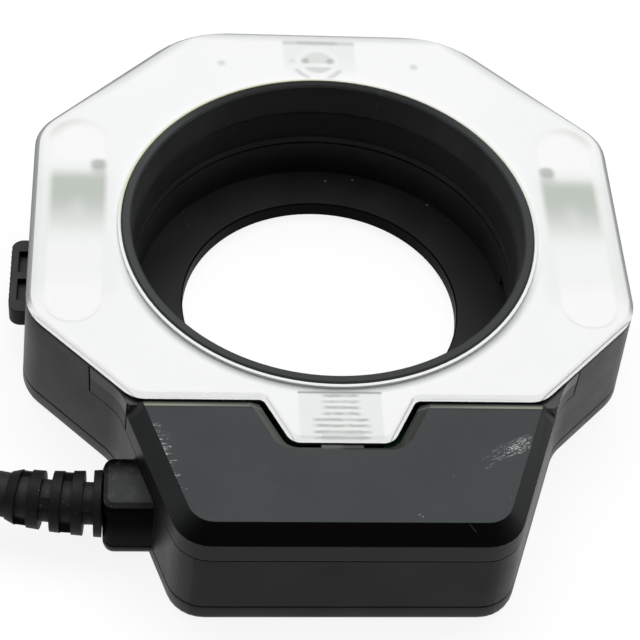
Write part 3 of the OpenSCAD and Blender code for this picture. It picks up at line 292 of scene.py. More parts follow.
    def disc_distance(self, x, y, centre, radius):
        """Signed distance in millimetres to a disc, below zero inside."""
        return self.minus(self.reach(self.minus(x, centre[0]), self.minus(y, centre[1])), radius)

    def line(self, distance, width):
        """1 on the edge of a shape, fading to 0 at that width."""
        return self.ramp(self.size(distance), width, 0.0)

    def fill(self, distance, soft):
        """1 inside a shape, fading to 0 over soft on both sides of its edge."""
        return self.ramp(distance, soft, -soft)


def colour(value):
    if isinstance(value, bpy.types.NodeSocket):
        return value
    if isinstance(value, (int, float)):
        return (value, value, value, 1.0)
    return (*value, 1.0)


def paint_graph(name):
    return Graph(bpy.data.materials.new(name))


def dress(material, *names):
    for name in names:
        slots = nodes[name].data.materials
        slots.clear()
        slots.append(material)


def dress_faces(material, name, test):
    """That material on the faces whose middle, in millimetres, and normal pass the test."""
    mesh = nodes[name].data
    mesh.materials.append(material)
    for face in mesh.polygons:
        if test(face.center / MM, face.normal):
            face.material_index = len(mesh.materials) - 1


# Black plastic of the housing
PLASTIC_IOR = 1.26
FRONT_SHADE_IOR = 1.225
DULL_IOR = 1.12
BOX_IOR = 1.07
PLASTIC_ROUGH = 0.42
PLASTIC_SOFT = 0.35
GRAIN_DEPTH = 0.03
DUST = (0.42, 0.41, 0.39)
RUBBED = (0.15, 0.15, 0.145)
BODY_TONE = (0.0175, 0.018, 0.0185)
BORE_TONE = (0.033, 0.034, 0.035)
BOX_TONE = (0.056, 0.0575, 0.0585)
BUTTON_TONE = (0.05, 0.051, 0.053)
PLUG_TONE = (0.0135, 0.0138, 0.0145)
UPRIGHT_SHADE_TONE = 0.002
BORE_REACH = 42.95
BORE_LOW = 4.8
BORE_SHADE_SPAN = (40.5, 28.0)
BOX_LEFT = -41.0
BOX_RIGHT = -33.0
BOX_FRONT = -62.3
BOX_FAR = -49.8
BOX_HIGH = 18.5
BOX_TOP_SHADE = (BOX_FAR - 1.5, BOX_FAR - 6.5)
BOX_FRONT_SHADE = (12.5, 5.0)


def wall_shade(g, tone, y, z, facing):
    """Painted shade: upright faces are darker than what faces up, most of all at the front."""
    upright = g.ramp(facing[2], 0.6, 0.2)
    return g.paint(tone, upright, g.ramp(facing[1], -0.5, -0.9, 0.6, 0.95), UPRIGHT_SHADE_TONE)


def bore_shade(g, tone, y, z, facing):
    """Painted shade: the bore is darkest at its far side."""
    return g.dim(tone, g.ramp(y, *BORE_SHADE_SPAN, 0.62, 1.0))


def box_shade(g, tone, y, z, facing):
    """Painted shade: the far corner of the cable box and the upper part of its front are darkened, as they
    lie in the dark.
    """
    top = g.ramp(y, *BOX_TOP_SHADE, 0.01, 1.0)
    front = g.ramp(z, *BOX_FRONT_SHADE)
    down = g.ramp(facing[2], 0.97, 0.35)
    return g.dim(tone, g.add(g.times(top, g.without(down)), g.times(front, down)))


def moulded(name, base, rough=PLASTIC_ROUGH, grain=0.35, dust=0.22, wear=0.25, ior=PLASTIC_IOR,
            shading=wall_shade):
    """Fine-grained black plastic, with pale worn edges, a little dust on what faces up and painted shade from
    its shading.
    """
    g = paint_graph(name)
    place = g.place()
    y, z = g.parts(place)[1:]
    facing = g.facing()
    broad = g.noise(place, 0.09, 3.0)
    fine = g.noise(place, 2.6, 2.0, 0.6)
    # The shading function paints shade into the tone: wall_shade, bore_shade or box_shade.
    tone = shading(g, g.mottled(broad, base, 0.85, 1.15), y, z, facing)
    tone = g.paint(tone, g.worn(place, 0.3, (0.02, 0.35), 0.35, 0.42), wear, RUBBED)
    spots = g.scatter(place, (0.7, 0.1), (0.12, 0.45, 0.7))
    lint = g.scatter(place, (1.4, 0.13), (0.16, 0.56, 0.74), 3.0)
    film = g.times(g.ramp(facing[2], 0.2, 0.95), g.ramp(g.noise(place, 0.5, 4.0, 0.7), 0.5, 0.85))
    tone = g.paint(tone, g.most(g.times(film, 0.25), spots, g.times(lint, 0.8)), dust, DUST)
    g.shade("Base Color", tone)
    g.shade("IOR", ior)
    g.uneven(g.add(g.times(broad, 0.6), g.times(fine, 0.4)), rough, 0.07)
    g.bump(g.add(fine, g.times(g.noise(place, 7.0, 1.0), 0.5)), grain, GRAIN_DEPTH, PLASTIC_SOFT)
    return g.owner


def in_bore(middle, normal):
    return math.hypot(middle.x, middle.y) < BORE_REACH and middle.z > BORE_LOW


def on_box(middle, normal):
    if not (middle.x < BOX_RIGHT and BOX_FRONT < middle.y < BOX_FAR and middle.z < BOX_HIGH):
        return False
    return middle.x < BOX_LEFT or normal.z > 0.3 or abs(normal.y) > 0.6


def at_front(middle, normal):
    return normal.y < -0.9


# Painted shade: faces that look to the front reflect less, standing in for the shaded floor in front that
# they mirror.
front_black = moulded("front_black", BODY_TONE, ior=FRONT_SHADE_IOR)
# Bore faces of the housing, with the painted shade of bore_shade.
bore_dull = moulded("bore_dull", BORE_TONE, wear=0.1, ior=DULL_IOR, shading=bore_shade)
# Cable box, with the painted shade of box_shade.
box_dull = moulded("box_dull", BOX_TONE, 0.5, dust=0.5, ior=BOX_IOR, shading=box_shade)
dress(moulded("body_black", BODY_TONE), "rear_cover", "middle_housing")
for name in ("rear_cover", "middle_housing"):
    dress_faces(front_black, name, at_front)
    dress_faces(bore_dull, name, in_bore)
dress_faces(box_dull, "middle_housing", on_box)
dress(moulded("button_black", BUTTON_TONE, 0.5, 0.5), "release_button_left", "release_button_right")
dress(moulded("plug_black", PLUG_TONE, 0.45, 0.3), "plug_body")

# Panel block
PANEL_Z = 28.2
SLOPE_Z = 23.95
FLANK_NEAR = -75.0
FLANK_FADE = 9.0
NOTCH_HALF = 19.0
NOTCH_Y = -60.3
CORNER_X = (36.5, 37.5)
CORNER_Y = (-47.5, -46.5)
STRIP_Y = -46.68
STRIP_FAR = -45.75
STRIP_PALER = (16.0, 34.0)
LEDGE_Z = 27.1
LEDGE_HALF = 39.8
WALL_BLACK = (0.006, 0.0062, 0.0064)
SLOPE_BLACK = (0.0035, 0.0036, 0.0037)
LEFT_FLANK_LIGHT = (0.037, 0.0405, 0.0415)
RIGHT_FLANK_LIGHT = (0.022, 0.0245, 0.024)
LEFT_SHEEN = (0.088, 0.097, 0.086)
RIGHT_SHEEN = (0.042, 0.046, 0.04)
CORNER_LIGHT_GREY = (0.06, 0.063, 0.06)
PANEL_GREY = (0.05, 0.0565, 0.058)
PANEL_LIGHT = (0.056, 0.063, 0.065)
PANEL_DARK = (0.03, 0.036, 0.038)
STRIP_MIDDLE = (0.185, 0.2, 0.175)
STRIP_ENDS = (0.29, 0.32, 0.245)
STRIP_BLACK = (0.02, 0.021, 0.019)
CRACK_BLACK = (0.006, 0.006, 0.006)


def cap_slopes(g, x, y, aside, facing, slope):
    """Black walls and slopes, with painted light on the flanks, a painted sheen in the notch and painted
    light at the far corners.
    """
    tone = g.mix(slope, WALL_BLACK, SLOPE_BLACK)
    # Painted light on the side flanks, paler on the left than on the right.
    flank = g.times(slope, g.ramp(y, FLANK_NEAR, FLANK_NEAR + FLANK_FADE))
    tone = g.paint(tone, g.times(flank, g.ramp(facing[0], -0.1, -0.6)), 1.0, LEFT_FLANK_LIGHT)
    tone = g.paint(tone, g.times(flank, g.ramp(facing[0], 0.1, 0.6)), 1.0, RIGHT_FLANK_LIGHT)
    # Painted sheen on the notch's slopes, brighter on the left.
    notch = g.times(slope, g.ramp(aside, NOTCH_HALF + 0.5, NOTCH_HALF - 0.5))
    notch = g.times(notch, g.ramp(y, NOTCH_Y - 0.3, NOTCH_Y + 0.3))
    tone = g.paint(tone, notch, 0.95, g.mix(g.ramp(x, -1.0, 1.0), LEFT_SHEEN, RIGHT_SHEEN))
    # Painted light on the far corners, lifting them out of the shade they lie in.
    corner = g.times(g.ramp(aside, *CORNER_X), g.ramp(y, *CORNER_Y))
    return g.paint(tone, corner, 0.9, CORNER_LIGHT_GREY)


def cap_top(g, tone, place, y, z, aside, facing, top, drift):
    """Matt grey panel, and the pale strip along its far edge."""
    panel = g.mix(g.ramp(drift, 0.35, 0.65), PANEL_GREY, PANEL_LIGHT)
    panel = g.mix(g.ramp(g.noise(place, 1.5, 3.0, 0.7), 0.35, 0.65, 0.0, 0.14), panel, PANEL_DARK)
    tone = g.mix(top, tone, panel)
    strip = g.times(g.ramp(z, LEDGE_Z - 0.3, LEDGE_Z - 0.1), g.ramp(facing[2], 0.8, 0.95))
    strip = g.times(strip, g.ramp(y, STRIP_Y - 0.12, STRIP_Y + 0.12))
    strip = g.times(strip, g.ramp(aside, LEDGE_HALF, LEDGE_HALF - 1.5))
    pale = g.mix(g.ramp(aside, *STRIP_PALER), STRIP_MIDDLE, STRIP_ENDS)
    tone = g.paint(tone, strip, 1.0, g.mix(g.ramp(y, STRIP_FAR, STRIP_Y + 0.1), STRIP_BLACK, pale))
    crack = g.line(g.minus(y, STRIP_Y - 0.25), 0.2)
    return g.paint(tone, g.times(crack, top), 0.3, CRACK_BLACK)


# Wear of the panel block
DASH_START = (-34.6, -53.5)
DASH_LEAN = 0.243
DASH_RUN = (-66.5, -51.0)
DASH_TURN = 4.0
DASH_MARK = (2.2, 0.28)
STREAK_TURN = 27.0
STREAK_START = (22.3, -60.7)
STREAK_LENGTH = 14.5
STREAK_WIDTH = (-1.6, 0.9)
STREAK_MARK = (3.0, 0.22)
NICK = (22.68, 27.47)
NICK_HALF = 0.7
NICK_Y = (-72.0, -73.0)
SCRATCHED = (0.6, 0.62, 0.61)


def cap_dashes(g, place, x, y, dots):
    """Dashes along the left edge, thinner further in."""
    inward = g.add(x, -DASH_START[0], g.times(g.add(y, -DASH_START[1]), DASH_LEAN))
    zone = g.times(g.ramp(inward, -0.6, 0.1), g.band(y, *DASH_RUN, 1.2))
    thin = g.ramp(inward, 0.0, 5.0, 0.5, 0.72)
    grit = g.noise(g.along(place, DASH_TURN, *DASH_MARK), 1.0, 4.0, 0.75)
    return g.times(g.ramp(g.minus(grit, thin), 0.0, 0.06), zone, dots)


def cap_streaks(g, place, x, y, dots):
    """Streaks on the right, denser towards the edge."""
    cosine = math.cos(math.radians(STREAK_TURN))
    sine = math.sin(math.radians(STREAK_TURN))
    dx = g.minus(x, STREAK_START[0])
    dy = g.minus(y, STREAK_START[1])
    run = g.add(g.times(dx, cosine), g.times(dy, sine))
    off = g.minus(g.times(dy, cosine), g.times(dx, sine))
    zone = g.times(g.band(run, 0.0, STREAK_LENGTH, 1.5), g.band(off, *STREAK_WIDTH, 0.9))
    strokes = g.noise(g.along(place, STREAK_TURN, *STREAK_MARK), 1.0, 4.0, 0.75)
    dense = g.ramp(run, 0.0, STREAK_LENGTH, 0.62, 0.46)
    return g.times(zone, g.ramp(g.minus(strokes, dense), 0.0, 0.07), dots)


def cap_nick(g, x, y, z):
    """Nick across the front slope."""
    fall = g.add(g.minus(x, NICK[0]), g.minus(z, NICK[1]))
    across = g.band(x, NICK[0] - NICK_HALF, NICK[0] + NICK_HALF, 0.2)
    return g.times(g.line(fall, 0.22), across, g.ramp(y, *NICK_Y))


def cap_finish(name, ior):
    """Matt grey top with its wear, black slopes and a paler far edge."""
    g = paint_graph(name)
    place = g.place()
    x, y, z = g.parts(place)
    facing = g.facing()
    fine = g.noise(place, 3.2, 2.0, 0.6)
    drift = g.noise(place, 0.06, 3.0)
    aside = g.size(x)
    top = g.times(g.ramp(z, PANEL_Z - 0.05, PANEL_Z + 0.1), g.ramp(facing[2], 0.8, 0.95))
    slope = g.times(g.ramp(z, SLOPE_Z - 0.1, SLOPE_Z + 0.1), g.without(top))
    tone = cap_slopes(g, x, y, aside, facing, slope)
    tone = cap_top(g, tone, place, y, z, aside, facing, top, drift)
    dots = g.ramp(g.noise(place, 3.4, 2.0, 0.6), 0.42, 0.58)
    dashes = g.times(cap_dashes(g, place, x, y, dots), 0.9)
    streaks = g.times(cap_streaks(g, place, x, y, dots), 0.95)
    motes = g.times(g.scatter(place, (0.42, 0.1), (0.2, 0.52, 0.66)), 0.3)
    tone = g.paint(tone, g.times(g.most(dashes, streaks, motes), top), 1.0, SCRATCHED)
    tone = g.paint(tone, cap_nick(g, x, y, z), 0.5, RUBBED)
    tone = g.paint(tone, g.worn(place, 0.3, (0.02, 0.3), 0.3, 0.45), 0.25, RUBBED)
    g.shade("Base Color", tone)
    g.shade("IOR", ior)
    g.shade("Roughness", g.add(g.times(top, 0.18), g.times(slope, -0.18), g.times(drift, 0.08), 0.4))
    g.bump(g.times(fine, g.add(0.4, g.times(top, 0.6))), 0.35, GRAIN_DEPTH, 0.3)
    return g.owner


def on_slope(middle, normal):
    return middle.z > SLOPE_Z and 0.2 < normal.z < 0.8


dress(cap_finish("cap_plastic", PLASTIC_IOR), "front_cover")
dress_faces(cap_finish("cap_slope", DULL_IOR), "front_cover", on_slope)

# Windows of the diffuser, with x measured from the middle of each arm
SIDE_X = 50.9
WINDOW_LOW = (-5.4, -26.7)
WINDOW_HIGH = (5.4, 27.9)
WINDOW_ROUND = 5.3
WINDOW_NEAR_END = (-20.0, -26.0)
HIGHLIGHT_NEAR = (-14.0, -19.0)
HIGHLIGHT_FAR = (15.5, 18.0)
STRIP_X = (-8.6, 9.0)
STRIP_RUN = (-20.0, 14.0)
ARCH_Y = 22.9
ARCH_R = 6.4
PATCH_X = (-5.8, 5.4)
PATCH_FAR = (15.6, 11.0)
PATCH_NEAR = (-7.5, 8.0)
CORE_X = (-1.4, 1.0)
CORE_RUN = (0.0, 6.0)
STEM_X = (-5.6, -2.9)
STEM_RUN = (12.5, 15.5)
SPOT_LOW = (-5.7, 14.4)
SPOT_HIGH = (-2.7, 17.3)
SIDE_STRIP_SHADE = (0.83, 0.85, 0.83)
WINDOW_WHITE = (0.85, 0.865, 0.85)
HIGHLIGHT_WHITE = (0.97, 0.975, 0.97)
OUTLINE_GREY = (0.5, 0.53, 0.5)
ARCH_GREY = (0.74, 0.74, 0.7)
PATCH_GREY = (0.46, 0.51, 0.45)
CORE_GREY = (0.82, 0.85, 0.81)
STEM_GREY = (0.5, 0.54, 0.5)
SPOT_GREY = (0.36, 0.4, 0.365)


def diffuser_windows(g, tone, aside, y):
    """Windows over the tubes, with the reflectors' middles behind them, painted on as soft shade seen through
    the plastic, and painted highlights at the windows' ends.
    """
    side = g.minus(aside, SIDE_X)
    window = g.box_distance(side, y, WINDOW_LOW, WINDOW_HIGH, WINDOW_ROUND)
    inside = g.fill(window, 0.5)
    # Painted shade on the strips beside the windows.
    strip = g.times(g.band(side, *STRIP_X, 1.6), g.band(y, *STRIP_RUN, 5.0), g.without(inside))
    tone = g.paint(tone, strip, g.ramp(side, -5.0, 5.0, 0.55, 0.85), SIDE_STRIP_SHADE)
    tone = g.paint(tone, inside, 0.3, WINDOW_WHITE)
    # Painted highlight at both ends of each window.
    highlight = g.times(inside, g.most(g.ramp(y, *HIGHLIGHT_NEAR), g.ramp(y, *HIGHLIGHT_FAR)))
    tone = g.paint(tone, highlight, 0.8, HIGHLIGHT_WHITE)
    outline = g.times(g.line(window, 0.5), g.ramp(y, *WINDOW_NEAR_END))
    tone = g.paint(tone, outline, 0.25, OUTLINE_GREY)
    # Painted shade of the reflector behind: crescent, patch, core, stem and spot.
    arch = g.disc_distance(side, y, (0.0, ARCH_Y), ARCH_R)
    crescent = g.times(g.fill(arch, 0.6), g.ramp(arch, -3.4, -0.6), g.ramp(y, ARCH_Y - 1.0, ARCH_Y + 3.5))
    tone = g.paint(tone, g.times(crescent, g.ramp(side, -4.0, 4.0, 0.2, 1.0)), 0.75, ARCH_GREY)
    patch = g.times(g.band(side, *PATCH_X, 0.9), g.ramp(y, *PATCH_FAR), g.ramp(y, *PATCH_NEAR))
    tone = g.paint(tone, patch, 0.9, PATCH_GREY)
    core = g.times(g.band(side, *CORE_X, 1.6), g.band(y, *CORE_RUN, 2.5))
    tone = g.paint(tone, core, 0.3, CORE_GREY)
    stem = g.times(g.band(side, *STEM_X, 0.9), g.band(y, *STEM_RUN, 1.5))
    tone = g.paint(tone, stem, 0.6, STEM_GREY)
    spot = g.fill(g.box_distance(side, y, SPOT_LOW, SPOT_HIGH, 1.2), 0.8)
    return g.paint(tone, spot, 0.75, SPOT_GREY)


# Far lamp behind the diffuser
LAMP_Y = 48.3
HOLDER_LOW = (-7.5, 44.2)
HOLDER_HIGH = (8.2, 54.8)
HOLDER_FADE = (42.0, 51.0)
BAR_LOW = (-7.5, 54.0)
BAR_HIGH = (8.2, 55.3)
CUP_R = 4.3
LENS_R = 3.3
ARC_R = 5.2
PEG = (2.7, LAMP_Y + 0.5)
PEG_R = 0.8
SMUDGE = (-5.6, LAMP_Y + 0.4)
SMUDGE_R = 0.6
PIN = (21.0, 47.5)
PIN_R = 0.75
HOLDER_GREY = (0.72, 0.75, 0.735)
BAR_GREY = (0.42, 0.455, 0.43)
CUP_HIGHLIGHT = (0.9, 0.91, 0.9)
LENS_GREY = (0.66, 0.7, 0.675)
PEG_GREY = (0.42, 0.45, 0.43)
MOON_GREY = (0.6, 0.6, 0.61)
ARC_GREY = (0.45, 0.47, 0.46)
PIN_GREY = (0.5, 0.53, 0.51)


def diffuser_lamp(g, tone, x, y, aside):
    """Lamp at the far side, and the two pins beside it, painted on as soft shade seen through the plastic,
    with a painted highlight ring round the cup.
    """
    middle = (0.0, LAMP_Y)
    # Painted shade of the holder, bar, lens, peg and pins behind the plastic.
    holder = g.fill(g.box_distance(x, y, HOLDER_LOW, HOLDER_HIGH, 0.4), 0.5)
    tone = g.paint(tone, g.times(holder, g.ramp(y, *HOLDER_FADE)), 0.45, HOLDER_GREY)
    bar = g.fill(g.box_distance(x, y, BAR_LOW, BAR_HIGH, 0.2), 0.5)
    tone = g.paint(tone, g.times(bar, g.ramp(aside, 5.0, 3.6, 0.65, 1.0)), 0.75, BAR_GREY)
    # Painted highlight ring round the cup.
    tone = g.paint(tone, g.line(g.disc_distance(x, y, middle, CUP_R), 0.8), 0.8, CUP_HIGHLIGHT)
    lens = g.fill(g.disc_distance(x, y, middle, LENS_R), 0.5)
    tone = g.paint(tone, g.times(lens, g.ramp(y, LAMP_Y - 0.6, LAMP_Y + 0.2)), 0.7, LENS_GREY)
    tone = g.paint(tone, g.fill(g.disc_distance(aside, y, PEG, PEG_R), 0.6), 0.8, PEG_GREY)
    moon = g.times(lens, g.ramp(y, LAMP_Y - 1.2, LAMP_Y - 1.8))
    tone = g.paint(tone, moon, 0.75, MOON_GREY)
    ring = g.line(g.disc_distance(x, y, middle, ARC_R), 1.0)
    arcs = g.times(ring, g.ramp(y, LAMP_Y - 1.6, LAMP_Y - 2.8), g.ramp(aside, 1.2, 2.8))
    smudge = g.fill(g.disc_distance(x, y, SMUDGE, SMUDGE_R), 0.8)
    tone = g.paint(tone, g.most(arcs, g.times(smudge, 0.6)), 0.55, ARC_GREY)
    return g.paint(tone, g.fill(g.disc_distance(aside, y, PIN, PIN_R), 0.7), 0.6, PIN_GREY)


# Tab of the diffuser
PANE_LOW = (-7.9, -54.2)
PANE_HIGH = (7.8, -43.4)
PANE_EDGE_LOW = (-8.0, -43.75)
PANE_EDGE_HIGH = (7.9, -43.3)
FOOT_LOW = (-3.9, -54.4)
FOOT_HIGH = (3.9, -52.6)
RIB_START = -44.3
RIB_PITCH = 1.42
RIB_WIDER = (-48.8, -49.7)
RIB_HALF = 3.2
RIB_HALF_NEAR = 5.0
PANE_GREY = (0.76, 0.79, 0.765)
RIB_GREY = (0.42, 0.45, 0.43)
FOOT_GREY = (0.5, 0.52, 0.5)
PANE_EDGE_GREY = (0.2, 0.22, 0.21)


def diffuser_tab(g, tone, place, x, y, aside):
    """Ribbed lamp window at the tab, painted on as soft shade seen through the plastic."""
    # Painted shade of the lamp's pane, ribs and foot behind the tab.
    pane = g.fill(g.box_distance(x, y, PANE_LOW, PANE_HIGH, 0.4), 0.3)
    tone = g.paint(tone, pane, 0.6, PANE_GREY)
    sway = g.times(g.minus(g.noise(place, 0.35), 0.5), 1.2)
    run = g.add(y, -RIB_START, g.times(sway, 0.4))
    wave = g.math("COSINE", g.times(run, 2 * math.pi / RIB_PITCH))
    half = g.add(g.ramp(y, *RIB_WIDER, RIB_HALF, RIB_HALF_NEAR), sway)
    ribs = g.times(g.ramp(wave, -0.5, 0.7), g.ramp(g.minus(aside, half), 1.0, -0.6), pane)
    ribs = g.times(ribs, g.ramp(g.noise(place, 0.45), 0.35, 0.6, 0.6, 1.0))
    tone = g.paint(tone, ribs, 0.85, RIB_GREY)
    foot = g.fill(g.box_distance(x, y, FOOT_LOW, FOOT_HIGH, 0.3), 0.4)
    tone = g.paint(tone, foot, 0.35, FOOT_GREY)
    edge = g.fill(g.box_distance(x, y, PANE_EDGE_LOW, PANE_EDGE_HIGH, 0.1), 0.2)
    return g.paint(tone, edge, 0.75, PANE_EDGE_GREY)


# Lip, bevels and creases of the diffuser, with their painted shade
LIP_R = 42.61
BEVEL = 1.0
BODY_HALF = 60.0
FAR_REACH = 58.0
FAR_SUM = 86.27
NEAR_SUM = 83.83
FAR_ARMS = (30.0, 44.0)
NEAR_CORNER = (-24.0, -20.5)
SKIRT_Z = (27.7, 28.35)
BROW_Z = (28.35, 28.75)
TAB_FAR = (14.5, -44.8)
TAB_SLOPE = 0.5
NEAR_CREASE = -44.5
CREASE_IN = BEVEL * 0.6
CREASE_WIDTH = 0.24
SLANT_CREASE_WIDTH = 0.22
LIP_SHADE = (0.17, 0.195, 0.18)
LIP_YELLOW = (0.6, 0.64, 0.34)
BESIDE_BEVEL_SHADE = (0.7, 0.72, 0.71)
FAR_SHADE_GREY = (0.68, 0.7, 0.69)
FAR_SHADE_DARK = (0.3, 0.31, 0.3)
SKIRT_SHADE_BLACK = (0.06, 0.063, 0.065)
SKIRT_SHADE_GREY = (0.3, 0.315, 0.32)
LEFT_BROW_SHADE = (0.4, 0.415, 0.42)
RIGHT_BROW_SHADE = (0.66, 0.675, 0.665)
FAR_BEVEL_SHADE = (0.15, 0.155, 0.15)
CREASE_SHADE_GREY = (0.33, 0.34, 0.3)


def diffuser_lip(g, tone, x, y, beyond):
    """Lip round the bore, yellowish at the far side, and painted shade beside it at the near side."""
    # Painted shade beside the lip at the near side.
    shade = g.times(g.ramp(beyond, 1.9, 0.1), g.ramp(beyond, -0.1, 0.1), g.ramp(y, -4.0, -30.0))
    tone = g.paint(tone, shade, 0.66, LIP_SHADE)
    lip = g.times(g.ramp(beyond, -0.15, -0.35), g.ramp(y, -8.0, 12.0))
    return g.paint(tone, lip, g.ramp(x, 15.0, -15.0, 0.35, 0.75), LIP_YELLOW)


def diffuser_bevels(g, tone, x, y, z, aside, facing, beyond):
    """Bevels round the far side and both arms, with painted shade on the face beside them, on the outward
    bevels and on the skirt below them.
    """
    far_corner = g.times(g.minus(FAR_SUM, g.add(aside, y)), math.sqrt(0.5))
    inset = g.minus(g.least(g.minus(FAR_REACH, y), g.minus(BODY_HALF, aside), far_corner), BEVEL)
    # Painted shade on the face beside the far and side bevels.
    tone = g.paint(tone, g.times(g.ramp(inset, 1.5, 0.2), g.ramp(y, -24.0, -18.0)), 0.35, BESIDE_BEVEL_SHADE)
    far = g.ramp(y, *FAR_ARMS)
    # Painted shade along the far arms' edges.
    tone = g.paint(tone, g.times(g.ramp(inset, 2.8, 0.2), far), 0.85, FAR_SHADE_GREY)
    tone = g.paint(tone, g.times(g.ramp(inset, 0.5, 0.1), far), 0.75, FAR_SHADE_DARK)
    # Painted shade on the outward bevels, darker on the left, and a painted shadow on the skirt below them.
    slope = g.without(g.ramp(facing[2], 0.9, 0.98))
    outward = g.times(slope, g.ramp(y, *NEAR_CORNER), g.ramp(beyond, 0.6, 1.2))
    skirt = g.mix(g.ramp(z, *SKIRT_Z), SKIRT_SHADE_BLACK, SKIRT_SHADE_GREY)
    brow = g.mix(g.ramp(x, -10.0, 10.0), LEFT_BROW_SHADE, RIGHT_BROW_SHADE)
    tone = g.paint(tone, outward, 0.9, g.mix(g.ramp(z, *BROW_Z), skirt, brow))
    # Painted shade on the bevels that face away.
    return g.paint(tone, g.times(outward, g.ramp(facing[1], 0.2, 0.5)), 0.8, FAR_BEVEL_SHADE)


def diffuser_crease_shade(g, tone, x, y, aside):
    """Painted shade: thin grey lines along the creases of the near bevels and the tab, stronger on the right.
    """
    slant = g.times(g.minus(NEAR_SUM, g.minus(aside, y)), math.sqrt(0.5))
    tab = g.minus(TAB_FAR[0] - TAB_SLOPE * TAB_FAR[1], g.minus(aside, g.times(y, TAB_SLOPE)))
    tab = g.times(tab, math.cos(math.atan(TAB_SLOPE)))
    on_ring = g.ramp(y, TAB_FAR[1], TAB_FAR[1] + 0.4)
    straight = g.times(g.line(g.minus(y, NEAR_CREASE), CREASE_WIDTH), g.ramp(aside, 36.0, 34.0))
    straight = g.times(straight, g.ramp(tab, -0.2, -0.6), 0.2)
    slanted = g.times(g.line(g.minus(slant, CREASE_IN), SLANT_CREASE_WIDTH), on_ring)
    round_tab = g.times(g.line(g.minus(tab, CREASE_IN), CREASE_WIDTH), g.without(on_ring))
    # Painted shade along the creases of the near bevels and the tab.
    crease_shade = g.times(g.most(slanted, straight, round_tab), g.ramp(y, -20.0, -24.0))
    return g.paint(tone, g.times(crease_shade, g.ramp(x, -20.0, 30.0, 0.45, 1.0)), 0.9, CREASE_SHADE_GREY)


# Diffuser
FROSTED_WHITE = (0.915, 0.935, 0.925)
FROSTED_LIGHT = (0.935, 0.95, 0.943)
SKIRT_TOP = 28.1
SKIRT_CLEAR = 2.0


def diffuser_finish():
    """Frosted white plastic, with what lies behind it painted on as soft shade and light, and painted shade
    on its edges.
    """
    g = paint_graph("frosted_white")
    place = g.place()
    x, y, z = g.parts(place)
    facing = g.facing()
    aside = g.size(x)
    beyond = g.disc_distance(x, y, (0.0, 0.0), LIP_R)
    tone = g.mix(g.ramp(g.noise(place, 0.03), 0.35, 0.65), FROSTED_WHITE, FROSTED_LIGHT)
    tone = diffuser_windows(g, tone, aside, y)
    tone = diffuser_lamp(g, tone, x, y, aside)
    tone = diffuser_tab(g, tone, place, x, y, aside)
    tone = diffuser_lip(g, tone, x, y, beyond)
    tone = diffuser_bevels(g, tone, x, y, z, aside, facing, beyond)
    tone = diffuser_crease_shade(g, tone, x, y, aside)
    g.shade("Base Color", tone)
    g.shade("Roughness", g.ramp(g.noise(place, 0.6, 3.0), 0.3, 0.7, 0.42, 0.54))
    g.shade("Subsurface Weight", 0.2)
    g.shade("Subsurface Radius", (1.0, 1.0, 1.0))
    g.shade("Subsurface Scale", 0.6 * MM)
    lit_through = g.times(g.ramp(facing[2], 0.1, 0.4), g.ramp(facing[1], 0.1, -0.3))
    g.bump(g.noise(place, 1.6), 0.06, GRAIN_DEPTH, 0.3, lit_through)
    return g.owner


def on_shaded_skirt(middle, normal):
    outside = math.hypot(middle.x, middle.y) > LIP_R + SKIRT_CLEAR
    return outside and abs(normal.z) < 0.3 and middle.z < SKIRT_TOP


dress(diffuser_finish(), "diffuser")
# Painted shadow: the diffuser's skirt below its bevel wears the dark bore finish.
dress_faces(bore_dull, "diffuser", on_shaded_skirt)

# Bore
RIM_Z = 29.3
HOLE_R = 29.4
FLANGE_LIGHT = (0.0, 33.0)
SCRATCH_TURN = 71.4
SCRATCH_Z = 28.44
SCRATCH_LEAN = -0.119
SCRATCH_RUN = (14.0, 20.0)
MOTES = ((2.9, 36.2), (9.0, 36.7), (25.3, 29.4))
MOTE_R = 0.22
COLLAR_TONE = (0.064, 0.066, 0.0675)
COLLAR_RIM = (0.06, 0.0645, 0.066)
ADAPTER_TONE = (0.025, 0.0262, 0.0272)
ADAPTER_RIM = (0.02, 0.02, 0.02)
HOLE_TONE = (0.004, 0.0042, 0.0044)


def bore_scratch(g, place, x, y, z):
    """Long faint scratch down the far wall."""
    angle = g.times(g.math("ARCTAN2", y, x), 180 / math.pi)
    lean = g.times(g.minus(z, SCRATCH_Z), SCRATCH_LEAN)
    off = g.minus(angle, g.add(SCRATCH_TURN, lean))
    broken = g.ramp(g.noise(place, 0.6, 3.0), 0.3, 0.6)
    return g.times(g.line(off, 0.35), broken, g.ramp(z, *SCRATCH_RUN))


